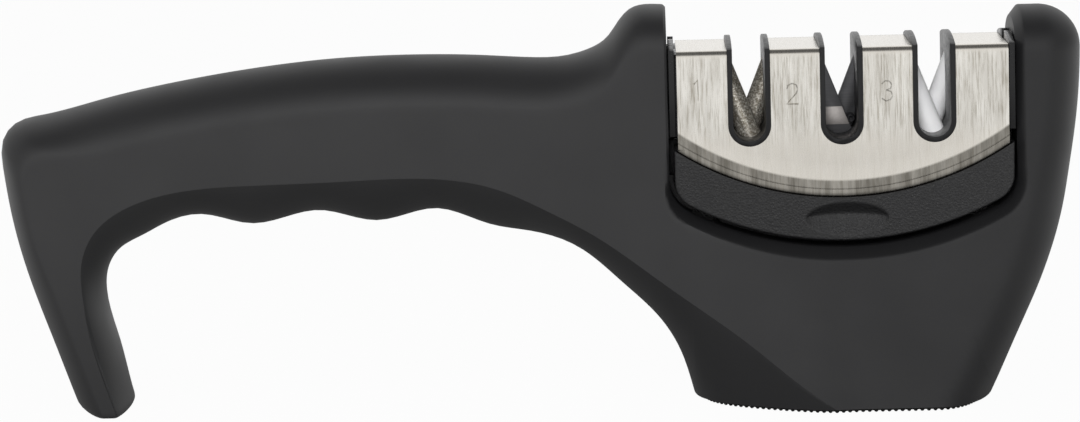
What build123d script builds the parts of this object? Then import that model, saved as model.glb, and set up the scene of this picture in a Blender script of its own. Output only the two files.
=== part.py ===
from build123d import *
import math
import os

# Three-stage knife sharpener with a bent handle and a lift-out cartridge. Millimetres.
# +X runs from the leg to the nose, +Z is up, and -Y is the front with the numbered slots.
# The origin is on the floor, under the middle of the whole.

# ---- housing: widths, arches and walls
handle_half_width = 12.5
tower_half_width = 13.0
foot_half_width = 25.4
handle_arch = 9.0
leg_arch = 6.0
tower_arch = 8.0
nose_arch_at_foot = 13.0
foot_flare = 0.33
wall = 2.4
leg_tip_wall = 3.0
leg_tip_radius = 3.0
seam_gap = 0.1
join_step = 0.03
overlap_start = 1.0
tower_height = 74.7
head_split_x = 60.0
bend_pivot = (-72.0, 24.0)

# ---- foot: sole, base plate and its screws
sole_thickness = 0.9
sole_inset = 1.2
plate_thickness = 2.4
plate_clearance = 0.3
base_screw_x = (42.0, 75.0)
base_screw_y = (11.0, 12.0)
boss_radius = 3.2
base_screw_radius = 1.4
base_screw_head_radius = 2.7
base_screw_head_height = 1.5
base_screw_length = 12.0

# ---- pocket that holds the cartridge
pocket_left = 25.0
pocket_right = 91.3
pocket_floor = 30.35
pocket_floor_radius = 64.8
pocket_corner = 6.7
rail_half_width = 2.0
rail_height = 0.9
rail_top = 64.0
rail_clearance = 0.3
seat_half_length = 24.0
seat_half_depth = 6.0

# ---- cartridge
end_clearance = 0.3
cover_left = 26.4
cover_right = 89.9
cover_half_depth = 12.7
cover_top = 68.4
cover_bend = 1.5
sheet = 0.5
lip_height = 1.1
lip_end_z = 51.65
lip_middle_z = 40.1
base_left = 26.0
base_right = 90.7
base_half_depth = 14.0
base_floor = 31.55
base_floor_radius = 63.6
base_corner = 5.5
base_wall = 2.0
base_top_gap = 0.15
dimple_length = 15.8
dimple_height = 6.0
dimple_depth = 1.2
dimple_z = 36.0
fit = 0.05
assembly_gap = 0.1

# ---- slots and their liners
slot_pitch = 17.6
slot_middle = 58.1
slot_width = 6.2
liner_wall = 0.95
slot_floor = 50.95
liner_half_depth = 12.95
liner_peak = 70.0
liner_end_top = 68.6
digit_height = 4.0
digit_z = 60.2
digit_stroke = 0.5
engraving_depth = 0.15

# ---- rods, blades and what holds them
v_half_angle = 21.5
v_bottom = 57.8
rod_diameter = 4.5
rod_offset = 3.2
rod_top = 65.6
rod_bottom = 46.95
blade_width = 5.0
blade_thickness = 1.6
blade_gap = 0.6
pin_radius = 0.8
pin_offset = 2.2
pin_z = 53.7
pin_front = -2.4
core_bottom = 46.0
core_step = 52.2
core_split = 0.05
retainer_thickness = 1.0
retainer_half_length = 28.0
retainer_half_depth = 9.5
cartridge_screw_y = 7.0
cartridge_screw_radius = 1.2
cartridge_screw_head_radius = 2.2
cartridge_screw_head_height = 1.5
cartridge_screw_seat = 40.0
cartridge_screw_bite = 6.0
cartridge_boss_radius = 3.4

os.makedirs("parts", exist_ok=True)

# ---- outlines of the housing on its mid-plane, as (X, Z); the leg runs on below the floor, where it is cut
outer_line = [
    (-90.4, -3.0), (-91.4, 0.0), (-96.2, 14.0), (-100.2, 26.0), (-103.1, 38.0), (-104.5, 48.5),
    (-104.1, 54.0), (-101.8, 56.6), (-96.5, 58.1), (-85.0, 60.8), (-69.4, 64.0),
    (-53.8, 66.3), (-38.3, 67.7), (-22.8, 68.0), (-11.2, 67.6), (-1.0, 66.9),
    (5.0, 67.0), (9.5, 68.2), (13.0, 70.3), (16.2, 73.9), (19.0, 75.9),
    (24.0, 76.6), (32.0, 76.0), (45.0, tower_height + 0.2), (60.0, tower_height), (63.0, tower_height),
]
# the underside, with its finger grooves, and the bow of the foot, which runs on below the floor
under_line = [
    (-80.7, -3.0), (-81.2, 0.0), (-83.1, 12.7), (-85.1, 20.5), (-84.9, 27.0), (-82.2, 31.6), (-77.7, 34.2),
    (-72.9, 36.6), (-65.8, 38.0), (-56.5, 35.9), (-42.9, 38.2), (-32.1, 35.9), (-20.3, 38.0),
    (-9.9, 34.6), (-2.5, 33.2), (6.4, 30.2), (15.5, 22.6), (22.4, 15.7), (26.9, 7.8), (29.1, 0.2),
    (31.5, -8.0), (35.0, -20.0), (42.0, -42.0), (52.0, -70.0), (64.0, -100.0),
]
# where the flat sides meet the crowned underside
crease_line = [
    (-81.6, -3.0), (-82.6, 0.0), (-85.2, 8.1), (-87.1, 15.0), (-88.4, 23.8), (-88.2, 31.0), (-85.0, 37.0),
    (-80.0, 40.6), (-72.0, 43.3), (-55.7, 44.7), (-36.6, 45.1), (-17.5, 44.9), (-8.0, 42.8),
    (1.5, 38.4), (10.9, 33.2), (19.4, 27.2), (28.0, 21.0), (39.0, 13.3), (48.6, 5.7),
    (54.4, 1.6), (58.0, -0.4), (60.5, -1.0), (63.0, -1.0),
]
nose_line = [
    (83.0, -8.0), (87.4, 0.3), (92.8, 12.1), (96.2, 19.9), (98.9, 27.7), (100.9, 35.5),
    (102.3, 43.3), (103.5, 51.1), (104.3, 58.9), (104.6, tower_height - tower_arch), (104.6, 72.0),
]
# half width at the crease along the neck, as (X, Y)
flare_line = [
    (-12.0, handle_half_width), (6.0, handle_half_width + 0.3), (20.0, 14.6), (30.0, 17.2),
    (40.0, 20.8), (48.0, 23.7), (55.0, foot_half_width - 0.2), (60.0, foot_half_width),
    (63.0, foot_half_width),
]

below = 200.0
quarter = 0.5523


def sampled(points, count=1500):
    """Points along the smooth curve through the given (X, Z) points."""
    line = Spline(*[(x, 0, z) for x, z in points])
    return [((line @ (i / count)).X, (line @ (i / count)).Z) for i in range(count + 1)]


def inset_line(samples, distance):
    """The same curve moved sideways, to its left for a positive distance."""
    moved = []
    for (ax, az), (bx, bz) in zip(samples, samples[1:]):
        length = math.hypot(bx - ax, bz - az)
        moved.append((ax - (bz - az) / length * distance, az + (bx - ax) / length * distance))
    return moved


def crossing(samples, origin, direction):
    """How far from origin, along direction, the curve is first met."""
    ox, oz = origin
    dx, dz = direction
    nearest = None
    for (ax, az), (bx, bz) in zip(samples, samples[1:]):
        before = (ax - ox) * dz - (az - oz) * dx
        after = (bx - ox) * dz - (bz - oz) * dx
        if before * after <= 0 and before != after:
            share = before / (before - after)
            px = ax + share * (bx - ax)
            pz = az + share * (bz - az)
            along = (px - ox) * dx + (pz - oz) * dz
            if along > 0 and (nearest is None or along < nearest):
                nearest = along
    return nearest


def eased(value, start, end):
    """0 before start, 1 after end, smooth between."""
    share = min(1.0, max(0.0, (value - start) / (end - start)))
    return share * share * (3 - 2 * share)


outer = sampled(outer_line)
under = sampled(under_line)
crease = sampled(crease_line)
nose = sampled(nose_line)
flare = sampled(flare_line)


class Station:
    """One cross-section plane of the handle: where it cuts the outlines, for a given inset of the skin."""

    def __init__(self, origin, direction, arch, shoulder_half, crease_half, slope, inset):
        self.origin = origin
        self.direction = direction
        crest = crossing(outer, origin, direction)
        self.shoulder = crest - arch
        self.crease = crossing(crease, origin, direction)
        self.crest = crossing(inset_line(outer, -inset), origin, direction) if inset else crest
        self.under = crossing(inset_line(under, inset) if inset else under, origin, direction)
        self.shoulder_half = shoulder_half - inset
        self.crease_half = crease_half - inset
        self.slope = slope

    def at(self, along, y):
        ox, oz = self.origin
        dx, dz = self.direction
        return (ox + dx * along, y, oz + dz * along)

    def side(self, end=0.0):
        """Control points of the side, from the shoulder to end above the crease."""
        length = self.shoulder - self.crease
        foot_y = self.crease_half - self.slope * 0.31 * length
        return [
            (self.shoulder, self.shoulder_half),
            (self.shoulder - 0.36 * length, self.shoulder_half),
            (self.crease + 0.31 * length, foot_y),
            (self.crease + end, self.crease_half),
        ]

    def upper(self, drop=0.0):
        """Arched top and flat sides, closed across at the crease or straight on below it by drop."""
        side = self.side(overlap_start if drop else 0.0)
        rise = self.crest - self.shoulder
        half = self.shoulder_half
        edges = []
        for hand in (1, -1):
            edges.append(Bezier(
                self.at(self.crest, 0),
                self.at(self.crest, hand * quarter * half),
                self.at(self.shoulder + quarter * rise, hand * half),
                self.at(self.shoulder, hand * half),
            ))
            edges.append(Bezier(*[self.at(along, hand * y) for along, y in side]))
            if drop:
                along, y = side[-1]
                edges.append(Line(self.at(along, hand * y), self.at(self.crease - drop, hand * y)))
        end = self.crease_half
        edges.append(Line(self.at(self.crease - drop, end), self.at(self.crease - drop, -end)))
        return Wire(edges)

    def crown(self, start=0.0):
        """Control points of the crown, from the crease to the middle of the underside."""
        depth = self.crease - self.under
        half = self.crease_half
        return [
            (self.crease + start, half),
            (self.crease - 0.5 * depth, half * 0.84),
            (self.under, half * 0.5),
            (self.under, 0.0),
        ]

    def lower(self, lift=0.0):
        """Crowned underside, closed across at the crease or straight on above it by lift."""
        crown = self.crown(-overlap_start if lift > 0 else lift)
        end = self.crease_half
        edges = [Line(self.at(self.crease + lift, end), self.at(self.crease + lift, -end))]
        for hand in (1, -1):
            if lift > 0:
                along, y = crown[0]
                edges.append(Line(self.at(along, hand * y), self.at(self.crease + lift, hand * y)))
            edges.append(Bezier(*[self.at(along, hand * y) for along, y in crown]))
        return Wire(edges)


def stations(inset, leg_start, end_x):
    """Planes up the leg, round the bend and along the handle to the head."""
    found = []
    pivot_x, pivot_z = bend_pivot
    for share in (0.0, 0.25, 0.5, 0.75, 1.0):
        z = leg_start + (pivot_z - leg_start) * share
        found.append(Station((pivot_x, z), (-1.0, 0.0), leg_arch, handle_half_width, handle_half_width, 0.0, inset))
    for angle in (170, 160, 152, 146, 141, 137.5, 134, 130.5, 126, 120, 112, 101):
        turn = math.radians(angle)
        arch = leg_arch + (handle_arch - leg_arch) * eased(180 - angle, 20, 70)
        direction = (math.cos(turn), math.sin(turn))
        found.append(Station(bend_pivot, direction, arch, handle_half_width, handle_half_width, 0.0, inset))
    spacings = [-72, -67, -62, -57, -52, -47, -42, -37, -32, -27, -22, -17, -12, -7, -2, 2.5, 6.5, 10]
    spacings += [13, 15.5, 17.5, 19.5, 22.5, 26, 30, 35, 41, 47, 52, 56, end_x]
    for x in spacings:
        crease_half = crossing(flare, (x, 0.0), (0.0, 1.0)) if x > flare_line[0][0] else handle_half_width
        arch = handle_arch + (tower_arch - handle_arch) * eased(x, 10, 24)
        shoulder_half = handle_half_width + (tower_half_width - handle_half_width) * eased(x, 0, 20)
        slope = foot_flare * eased(x, 0, 52)
        found.append(Station((x, -below), (0.0, 1.0), arch, shoulder_half, crease_half, slope, inset))
    return found


def bezier_at(points, share):
    rest = 1 - share
    weights = (rest ** 3, 3 * rest * rest * share, 3 * rest * share * share, share ** 3)
    return tuple(sum(w * p[i] for w, p in zip(weights, points)) for i in range(2))


def head_half_width(z, inset):
    """Half width of the head at height z, on the same curve as the last section of the neck."""
    last = Station((head_split_x, -below), (0.0, 1.0), tower_arch, tower_half_width, foot_half_width, foot_flare, 0.0)
    side = last.side(overlap_start if inset else 0.0)
    low, high = 0.0, 1.0
    for _ in range(40):
        middle = (low + high) / 2
        if bezier_at(side, middle)[0] - below > z:
            low = middle
        else:
            high = middle
    return bezier_at(side, low)[1] - inset


def nose_section(z, inset, start_x):
    """Plan of the head at height z: straight sides and a half-elliptical nose."""
    half = head_half_width(z, inset) + (join_step if inset else -join_step)
    tip = crossing(nose, (0.0, z), (1.0, 0.0))
    arch = tower_arch + (nose_arch_at_foot - tower_arch) * (1 - eased(z, -25, 62))
    centre = tip - arch
    reach = arch - inset
    edges = [Line((start_x, -half, z), (start_x, half, z))]
    for hand in (1, -1):
        edges.append(Line((start_x, hand * half, z), (centre, hand * half, z)))
        edges.append(Bezier(
            (centre, hand * half, z),
            (centre + quarter * reach, hand * half, z),
            (centre + reach, hand * quarter * half, z),
            (centre + reach, 0, z),
        ))
    return Wire(edges)


def block(x0, x1, y0, y1, z0, z1):
    return Pos((x0 + x1) / 2, (y0 + y1) / 2, (z0 + z1) / 2) * Box(x1 - x0, y1 - y0, z1 - z0)


def prism(wire, half_depth):
    """Solid of an XZ outline, half_depth to each side of the mid-plane."""
    face = Face(wire).moved(Location((0, -half_depth, 0)))
    return Solid.extrude(face, Vector(0, 2 * half_depth, 0))


def upright(x, y, z0, z1, radius):
    return Pos(x, y, (z0 + z1) / 2) * Cylinder(radius, z1 - z0)


def bowl_face(left, right, floor, radius, corner, top):
    """XZ outline with upright sides, a curved floor and rounded lower corners."""
    middle = (left + right) / 2
    half = (right - left) / 2
    end = floor + radius - math.sqrt(radius * radius - half * half)
    outline = Wire([
        Line((left, 0, top), (left, 0, end)),
        ThreePointArc((left, 0, end), (middle, 0, floor), (right, 0, end)),
        Line((right, 0, end), (right, 0, top)),
        Line((right, 0, top), (left, 0, top)),
    ])
    face = Face(outline)
    low = [v for v in face.vertices() if abs(v.Z - end) < 0.01]
    return face.fillet_2d(corner, low)


def bowl(left, right, floor, radius, corner, top, half_depth):
    face = bowl_face(left, right, floor, radius, corner, top)
    return Solid.extrude(face.moved(Location((0, -half_depth, 0))), Vector(0, 2 * half_depth, 0))


def slot_u(x, half_width, floor, top, half_depth):
    """U-shaped prism: a slot with a round bottom."""
    centre = floor + half_width
    return prism(Wire([
        Line((x - half_width, 0, top), (x - half_width, 0, centre)),
        ThreePointArc((x - half_width, 0, centre), (x, 0, floor), (x + half_width, 0, centre)),
        Line((x + half_width, 0, centre), (x + half_width, 0, top)),
        Line((x + half_width, 0, top), (x - half_width, 0, top)),
    ]), half_depth)


# ---------------------------------------------------------------- housing
wide = 60.0
high = 120.0
foot_start_x = 10.0
plate_bottom = sole_thickness
plate_top = plate_bottom + plate_thickness
shoulder_z = tower_height - tower_arch

under_foot = block(foot_start_x, 150, -wide, wide, -below, plate_bottom)
# what the leg's tip loses: all below the floor, and its two lower corners, rounded
leg_silhouette = Face(Wire([
    Line((outer_line[2][0] - join_step, 0, outer_line[2][1]), (outer_line[1][0] - join_step, 0, 0)),
    Line((outer_line[1][0] - join_step, 0, 0), (under_line[1][0] + join_step, 0, 0)),
    Line((under_line[1][0] + join_step, 0, 0), (under_line[2][0] + join_step, 0, under_line[2][1])),
    Line((under_line[2][0] + join_step, 0, under_line[2][1]), (outer_line[2][0] - join_step, 0, outer_line[2][1])),
]))
leg_silhouette = leg_silhouette.fillet_2d(leg_tip_radius, [v for v in leg_silhouette.vertices() if v.Z < 1])
leg_tip = Solid.extrude(leg_silhouette.moved(Location((0, -wide, 0))), Vector(0, 2 * wide, 0))
under_leg = block(-120, -60, -wide, wide, -below, leg_tip_radius) - leg_tip
screw_places = [(x, side * y) for x, y in zip(base_screw_x, base_screw_y) for side in (-1, 1)]
bosses = [upright(x, y, plate_top, pocket_floor + 8, boss_radius) for x, y in screw_places]

# the pocket, with the guide rails and the seat under the cartridge left standing in it
pocket = bowl(pocket_left, pocket_right, pocket_floor, pocket_floor_radius, pocket_corner, high, wide)
pocket_lining = bowl(
    pocket_left - wall, pocket_right + wall, pocket_floor - wall, pocket_floor_radius + wall,
    pocket_corner + wall, high, wide,
)
left_rail = block(
    pocket_left - 1, pocket_left + rail_height, -rail_half_width, rail_half_width, pocket_floor, rail_top,
)
right_rail = block(
    pocket_right - rail_height, pocket_right + 1, -rail_half_width, rail_half_width, pocket_floor, rail_top,
)
base_middle = (base_left + base_right) / 2
cartridge_space = bowl(
    base_left - fit, base_right + fit, base_floor - fit, base_floor_radius + fit, base_corner, high, wide,
)
seat = block(
    base_middle - seat_half_length, base_middle + seat_half_length, -seat_half_depth, seat_half_depth,
    pocket_floor - 1, high,
)
pocket_cut = pocket - left_rail - right_rail - (seat - cartridge_space)


def neck(inset, leg_start, end_x, drop, lift):
    """Upper and lower lofts of leg, handle and neck, with their skin moved in by inset."""
    planes = stations(inset, leg_start, end_x)
    upper_loft = Solid.make_loft([plane.upper(drop) for plane in planes])
    lower_loft = Solid.make_loft([plane.lower(lift) for plane in planes])
    return upper_loft, lower_loft


def head(inset, start_x):
    """The part of the head past the split: sides, nose and foot, up to the tower's shoulder."""
    heights = [-6, 0, 6, 12, 18, 24, 30, 36, 42, 48, 54, 60, shoulder_z]
    return Solid.make_loft([nose_section(z, inset, start_x) for z in heights])


upper_outer, lower_outer = neck(0.0, outer_line[0][1] + 1, head_split_x, 0.0, -seam_gap)
upper_inner, lower_inner = neck(wall, leg_tip_wall, head_split_x + 0.9, 3.0, 3.0)

# the tower's top: an arched block, and a quarter turn of the same arch round the nose corner
corner_x = crossing(nose, (0.0, shoulder_z - 0.001), (1.0, 0.0)) - tower_arch
top_half = tower_half_width - 2 * join_step
top_rise = tower_arch - join_step
arch_edges = [Line((head_split_x, -top_half, shoulder_z), (head_split_x, top_half, shoulder_z))]
for hand in (1, -1):
    arch_edges.append(Bezier(
        (head_split_x, 0, shoulder_z + top_rise),
        (head_split_x, hand * quarter * top_half, shoulder_z + top_rise),
        (head_split_x, hand * top_half, shoulder_z + quarter * top_rise),
        (head_split_x, hand * top_half, shoulder_z),
    ))
arch_face = Face(Wire(arch_edges))
tower_top = Solid.extrude(arch_face, Vector(corner_x - head_split_x, 0, 0))
corner_face = arch_face.moved(Location((corner_x - head_split_x, 0, 0)))
tower_corner = revolve(corner_face, Axis((corner_x, 0, shoulder_z), (0, 1, 0)), 90)

neck_shell = upper_outer - (upper_inner - pocket_lining)
for boss in bosses[:2]:
    neck_shell = neck_shell + boss
neck_shell = neck_shell - under_leg - under_foot - pocket_cut

head_shell = head(0.0, head_split_x) + tower_top + tower_corner
head_shell = head_shell - (head(wall, head_split_x - 1) - pocket_lining)
for boss in bosses[2:]:
    head_shell = head_shell + boss
head_shell = head_shell - under_foot - pocket_cut

housing_shell = neck_shell + head_shell
for x, y in screw_places:
    pilot_top = plate_bottom + base_screw_length + 1
    housing_shell = housing_shell - upright(x, y, 0, pilot_top, base_screw_radius + fit)
export_step(housing_shell, "parts/housing_shell.step")

handle_underside = lower_outer - lower_inner - under_leg - under_foot
export_step(handle_underside, "parts/handle_underside.step")


def foot_half_width_at(x, z, inset):
    """Half width of the foot at (x, z), with its skin moved in by inset."""
    half = crossing(flare, (x, 0.0), (0.0, 1.0))
    plane = Station((x, -below), (0.0, 1.0), tower_arch, tower_half_width, half, foot_flare, inset)
    if z + below > plane.crease:
        points = plane.side()
    else:
        points = plane.crown()
    low, high_share = 0.0, 1.0
    for _ in range(40):
        share = (low + high_share) / 2
        if bezier_at(points, share)[0] - below > z:
            low = share
        else:
            high_share = share
    return bezier_at(points, low)[1]


def foot_plan(z, inset):
    """Outline of the foot seen from below, at height z, with its edge moved in by inset."""
    bow_x = crossing(inset_line(under, inset), (0.0, z), (1.0, 0.0))
    spots = [bow_x + (head_split_x - bow_x) * share for share in (0.04, 0.12, 0.25, 0.4, 0.6, 0.8, 1.0)]
    halves = [foot_half_width_at(x, z, inset) for x in spots]
    nose_half = head_half_width(z, inset)
    tip = crossing(nose, (0.0, z), (1.0, 0.0))
    arch = tower_arch + (nose_arch_at_foot - tower_arch) * (1 - eased(z, -25, 62))
    centre = tip - arch
    reach = arch - inset
    edges = []
    for hand in (1, -1):
        points = [(bow_x, 0, z)] + [(x, hand * half, z) for x, half in zip(spots, halves)]
        points[-1] = (head_split_x, hand * nose_half, z)
        edges.append(Spline(*points, tangents=[(0, hand, 0), (1, 0, 0)]))
        edges.append(Line((head_split_x, hand * nose_half, z), (centre, hand * nose_half, z)))
        edges.append(Bezier(
            (centre, hand * nose_half, z),
            (centre + quarter * reach, hand * nose_half, z),
            (centre + reach, hand * quarter * nose_half, z),
            (centre + reach, 0, z),
        ))
    return Face(Wire(edges))


# the foot's sides spread downwards while its bow and nose draw in, so the plate clears both outlines
plan_at_top = foot_plan(plate_top, wall + plate_clearance)
plan_at_bottom = foot_plan(plate_bottom, wall + plate_clearance)
base_plate = Solid.extrude(plan_at_top, Vector(0, 0, -plate_thickness))
base_plate = base_plate & Solid.extrude(plan_at_bottom, Vector(0, 0, plate_thickness))
for x, y in screw_places:
    base_plate = base_plate - upright(x, y, 0, high, base_screw_radius + assembly_gap)
    head_top = plate_bottom + base_screw_head_height
    base_plate = base_plate - upright(x, y, 0, head_top, base_screw_head_radius + assembly_gap)
export_step(base_plate, "parts/base_plate.step")

plan_of_sole = foot_plan(sole_thickness, sole_inset)
non_slip_sole = Solid.extrude(plan_of_sole, Vector(0, 0, -sole_thickness))
export_step(non_slip_sole, "parts/non_slip_sole.step")

screws = []
for x, y in screw_places:
    screw = upright(x, y, plate_bottom, plate_bottom + base_screw_head_height, base_screw_head_radius)
    screw = screw + upright(x, y, plate_bottom, plate_bottom + base_screw_length, base_screw_radius)
    screws.append(screw)
export_step(Compound(children=screws), "parts/base_screws.step")

# ---------------------------------------------------------------- cartridge
cover_middle = (cover_left + cover_right) / 2
cover_half_length = (cover_right - cover_left) / 2
lip_rise = lip_end_z - lip_middle_z
lip_radius = (cover_half_length ** 2 + lip_rise ** 2) / (2 * lip_rise)
lip_centre_z = lip_middle_z + lip_radius
slots = [slot_middle - slot_pitch, slot_middle, slot_middle + slot_pitch]
liner_half_width = slot_width / 2 + liner_wall
core_top = cover_top - sheet - assembly_gap
core_half_depth = cover_half_depth - sheet - assembly_gap


def above_lip(rise, half_depth):
    """Everything over an arc that runs rise above the lower edge of the cover."""
    radius = lip_radius - rise
    reach = cover_half_length + 2
    end = lip_centre_z - math.sqrt(radius ** 2 - reach ** 2)
    return prism(Wire([
        Line((cover_middle - reach, 0, high), (cover_middle - reach, 0, end)),
        ThreePointArc(
            (cover_middle - reach, 0, end), (cover_middle, 0, lip_centre_z - radius),
            (cover_middle + reach, 0, end),
        ),
        Line((cover_middle + reach, 0, end), (cover_middle + reach, 0, high)),
        Line((cover_middle + reach, 0, high), (cover_middle - reach, 0, high)),
    ]), half_depth)


def folded(half_depth, bottom, top, bend):
    """Block as long as the cover, with its two long top edges rounded."""
    face = Face(Wire([
        Line((cover_left, -half_depth, bottom), (cover_left, half_depth, bottom)),
        Line((cover_left, half_depth, bottom), (cover_left, half_depth, top)),
        Line((cover_left, half_depth, top), (cover_left, -half_depth, top)),
        Line((cover_left, -half_depth, top), (cover_left, -half_depth, bottom)),
    ]))
    face = face.fillet_2d(bend, [v for v in face.vertices() if v.Z > top - 0.01])
    return Solid.extrude(face, Vector(cover_right - cover_left, 0, 0))


def arched_band(x0, x1, half_depth, bottom, peak, end_top):
    """Upright plate across the cartridge with a gently arched top."""
    face = Face(Wire([
        Line((x0, -half_depth, bottom), (x0, half_depth, bottom)),
        Line((x0, half_depth, bottom), (x0, half_depth, end_top)),
        ThreePointArc((x0, half_depth, end_top), (x0, 0, peak), (x0, -half_depth, end_top)),
        Line((x0, -half_depth, end_top), (x0, -half_depth, bottom)),
    ]))
    return Solid.extrude(face, Vector(x1 - x0, 0, 0))


def leaning(x, y, lean, wide_by, bottom):
    """Place and length of a bar at (x, y) whose inner edge passes the slot's V, leaning to -X for a lean of -1."""
    angle = math.radians(v_half_angle)
    offset = wide_by / 2 / math.cos(angle)
    middle_z = (rod_top + bottom) / 2
    middle_x = x + lean * (offset + math.tan(angle) * (middle_z - v_bottom))
    length = (rod_top - bottom) / math.cos(angle)
    return Pos(middle_x, y, middle_z) * Rot(0, lean * v_half_angle, 0), length


# ---- rods and blades: the front one of each pair leans left, the rear one right
hands = {"front": -1, "rear": 1}
blade_y = blade_gap + blade_thickness / 2
hole_bottom = core_bottom - 3.0
holes = {"front": [[], [], []], "rear": [[], [], []]}
for name, hand in hands.items():
    for kind, index in (("diamond", 0), ("ceramic", 2)):
        place, length = leaning(slots[index], hand * rod_offset, hand, rod_diameter, rod_bottom)
        export_step(place * Cylinder(rod_diameter / 2, length), f"parts/{kind}_rod_{name}.step")
        place, length = leaning(slots[index], hand * rod_offset, hand, rod_diameter, hole_bottom)
        holes[name][index] = place * Cylinder(rod_diameter / 2 + fit, length + 2 * fit)
    place, length = leaning(slots[1], hand * blade_y, hand, blade_width, rod_bottom)
    strip = place * Box(blade_width, blade_thickness, length)
    strip = strip - Pos(slots[1] + pin_offset, 0, pin_z) * Rot(90, 0, 0) * Cylinder(pin_radius + fit, 20)
    export_step(strip, f"parts/carbide_blade_{name}.step")
    place, length = leaning(slots[1], hand * blade_y, hand, blade_width, hole_bottom)
    holes[name][1] = place * Box(blade_width + 2 * fit, blade_thickness + 2 * fit, length + 2 * fit)

pin_back = blade_gap + blade_thickness
blade_pin = Pos(slots[1] + pin_offset, (pin_front + pin_back) / 2, pin_z) * Rot(90, 0, 0)
blade_pin = blade_pin * Cylinder(pin_radius, pin_back - pin_front)
export_step(blade_pin, "parts/blade_pin.step")

# ---- slot liners
for number, x in enumerate(slots, 1):
    liner = arched_band(
        x - liner_half_width, x + liner_half_width, liner_half_depth, core_bottom, liner_peak, liner_end_top,
    )
    liner = liner & slot_u(x, liner_half_width, slot_floor - liner_wall, high, wide)
    liner = liner - slot_u(x, slot_width / 2, slot_floor, high, wide)
    for name in hands:
        liner = liner - holes[name][number - 1]
    export_step(liner, f"parts/slot_guide_{number}.step")

# ---- the two core halves, with the end walls that show beside the cover
core_left = pocket_left + end_clearance
core_right = pocket_right - end_clearance
screw_xs = [slot_middle - slot_pitch / 2, slot_middle + slot_pitch / 2]
cartridge_screw_places = [(x, side * cartridge_screw_y) for x in screw_xs for side in (-1, 1)]
foot_left = base_left + base_wall + 2 * assembly_gap
foot_right = base_right - base_wall - 2 * assembly_gap
foot_half_depth = base_half_depth - base_wall - 2 * assembly_gap
core = folded(core_half_depth, core_step, core_top, cover_bend - sheet)
core = core + block(foot_left, foot_right, -foot_half_depth, foot_half_depth, core_bottom, core_step)
for x0, x1 in ((core_left, cover_left - fit), (cover_right + fit, core_right)):
    core = core + arched_band(x0, x1, cover_half_depth, core_step, liner_peak, liner_end_top)
for x0, x1 in ((core_left, cover_left + sheet), (cover_right - sheet, core_right)):
    core = core + block(x0, x1, cover_bend - core_half_depth, core_half_depth - cover_bend, core_step, core_top - 1)
for x0, x1 in ((core_left - 1, cover_left - fit), (cover_right + fit, core_right + 1)):
    half = rail_half_width + rail_clearance
    core = core - block(x0, x1, -half, half, core_bottom, high)
for x in slots:
    core = core - slot_u(x, liner_half_width + fit, slot_floor - liner_wall - fit, high, wide)
for x, y in cartridge_screw_places:
    core = core - upright(x, y, 0, core_bottom + cartridge_screw_bite + 1, cartridge_screw_radius + fit)
for name, hand in hands.items():
    y0, y1 = sorted((hand * core_split, hand * wide))
    core_half = core & block(-150, 150, y0, y1, 0, high)
    for hole in holes[name]:
        core_half = core_half - hole
    export_step(core_half, f"parts/core_{name}.step")

# ---- plate that keeps rods and blades in
retainer = block(
    slot_middle - retainer_half_length, slot_middle + retainer_half_length,
    -retainer_half_depth, retainer_half_depth, core_bottom - retainer_thickness, core_bottom,
)
for x, y in cartridge_screw_places:
    retainer = retainer - upright(x, y, 0, high, cartridge_screw_radius + assembly_gap)
export_step(retainer, "parts/rod_retainer.step")

# ---- crescent-shaped base
cartridge_base = bowl(
    base_left, base_right, base_floor, base_floor_radius, base_corner, lip_end_z + 3, base_half_depth,
)
cartridge_base = cartridge_base - bowl(
    base_left + base_wall, base_right - base_wall, base_floor + base_wall, base_floor_radius - base_wall,
    base_corner - base_wall, high, base_half_depth - base_wall,
)
cartridge_base = cartridge_base - above_lip(-base_top_gap, wide)
retainer_bottom = core_bottom - retainer_thickness
for x, y in cartridge_screw_places:
    cartridge_base = cartridge_base + upright(x, y, base_floor + base_wall, retainer_bottom, cartridge_boss_radius)
for x, y in cartridge_screw_places:
    cartridge_base = cartridge_base - upright(x, y, 0, high, cartridge_screw_radius + assembly_gap)
    head_hole = upright(x, y, 0, cartridge_screw_seat, cartridge_screw_head_radius + assembly_gap)
    cartridge_base = cartridge_base - head_hole
groove_depth = rail_clearance
for x in (base_left, base_right):
    half = rail_half_width + rail_clearance
    cartridge_base = cartridge_base - block(x - groove_depth, x + groove_depth, -half, half, 0, high)
# the finger dimple is a cap of an ellipsoid, cut a fifth inside its own widest section
dish = scale(Sphere(1), by=(dimple_length / 1.6, dimple_depth * 2.5, dimple_height / 1.6))
for hand in hands.values():
    centre_y = hand * (base_half_depth + 1.5 * dimple_depth)
    cartridge_base = cartridge_base - Pos(base_middle, centre_y, dimple_z) * dish
export_step(cartridge_base, "parts/cartridge_base.step")

# ---- folded steel cover
steel_cover = folded(cover_half_depth, lip_middle_z, cover_top, cover_bend)
steel_cover = steel_cover - folded(cover_half_depth - sheet, 0, cover_top - sheet, cover_bend - sheet)
steel_cover = steel_cover & above_lip(lip_height, wide)
lip = above_lip(0, cover_half_depth + sheet) - above_lip(lip_height + sheet, wide)
lip = lip & block(cover_left, cover_right, -wide, wide, 0, high)
lip = lip - block(-150, 150, -cover_half_depth, cover_half_depth, 0, high)
steel_cover = steel_cover + lip
for x in slots:
    gap = liner_half_width + assembly_gap
    steel_cover = steel_cover - slot_u(x, gap, slot_floor - liner_wall - assembly_gap, high, wide)


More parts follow.
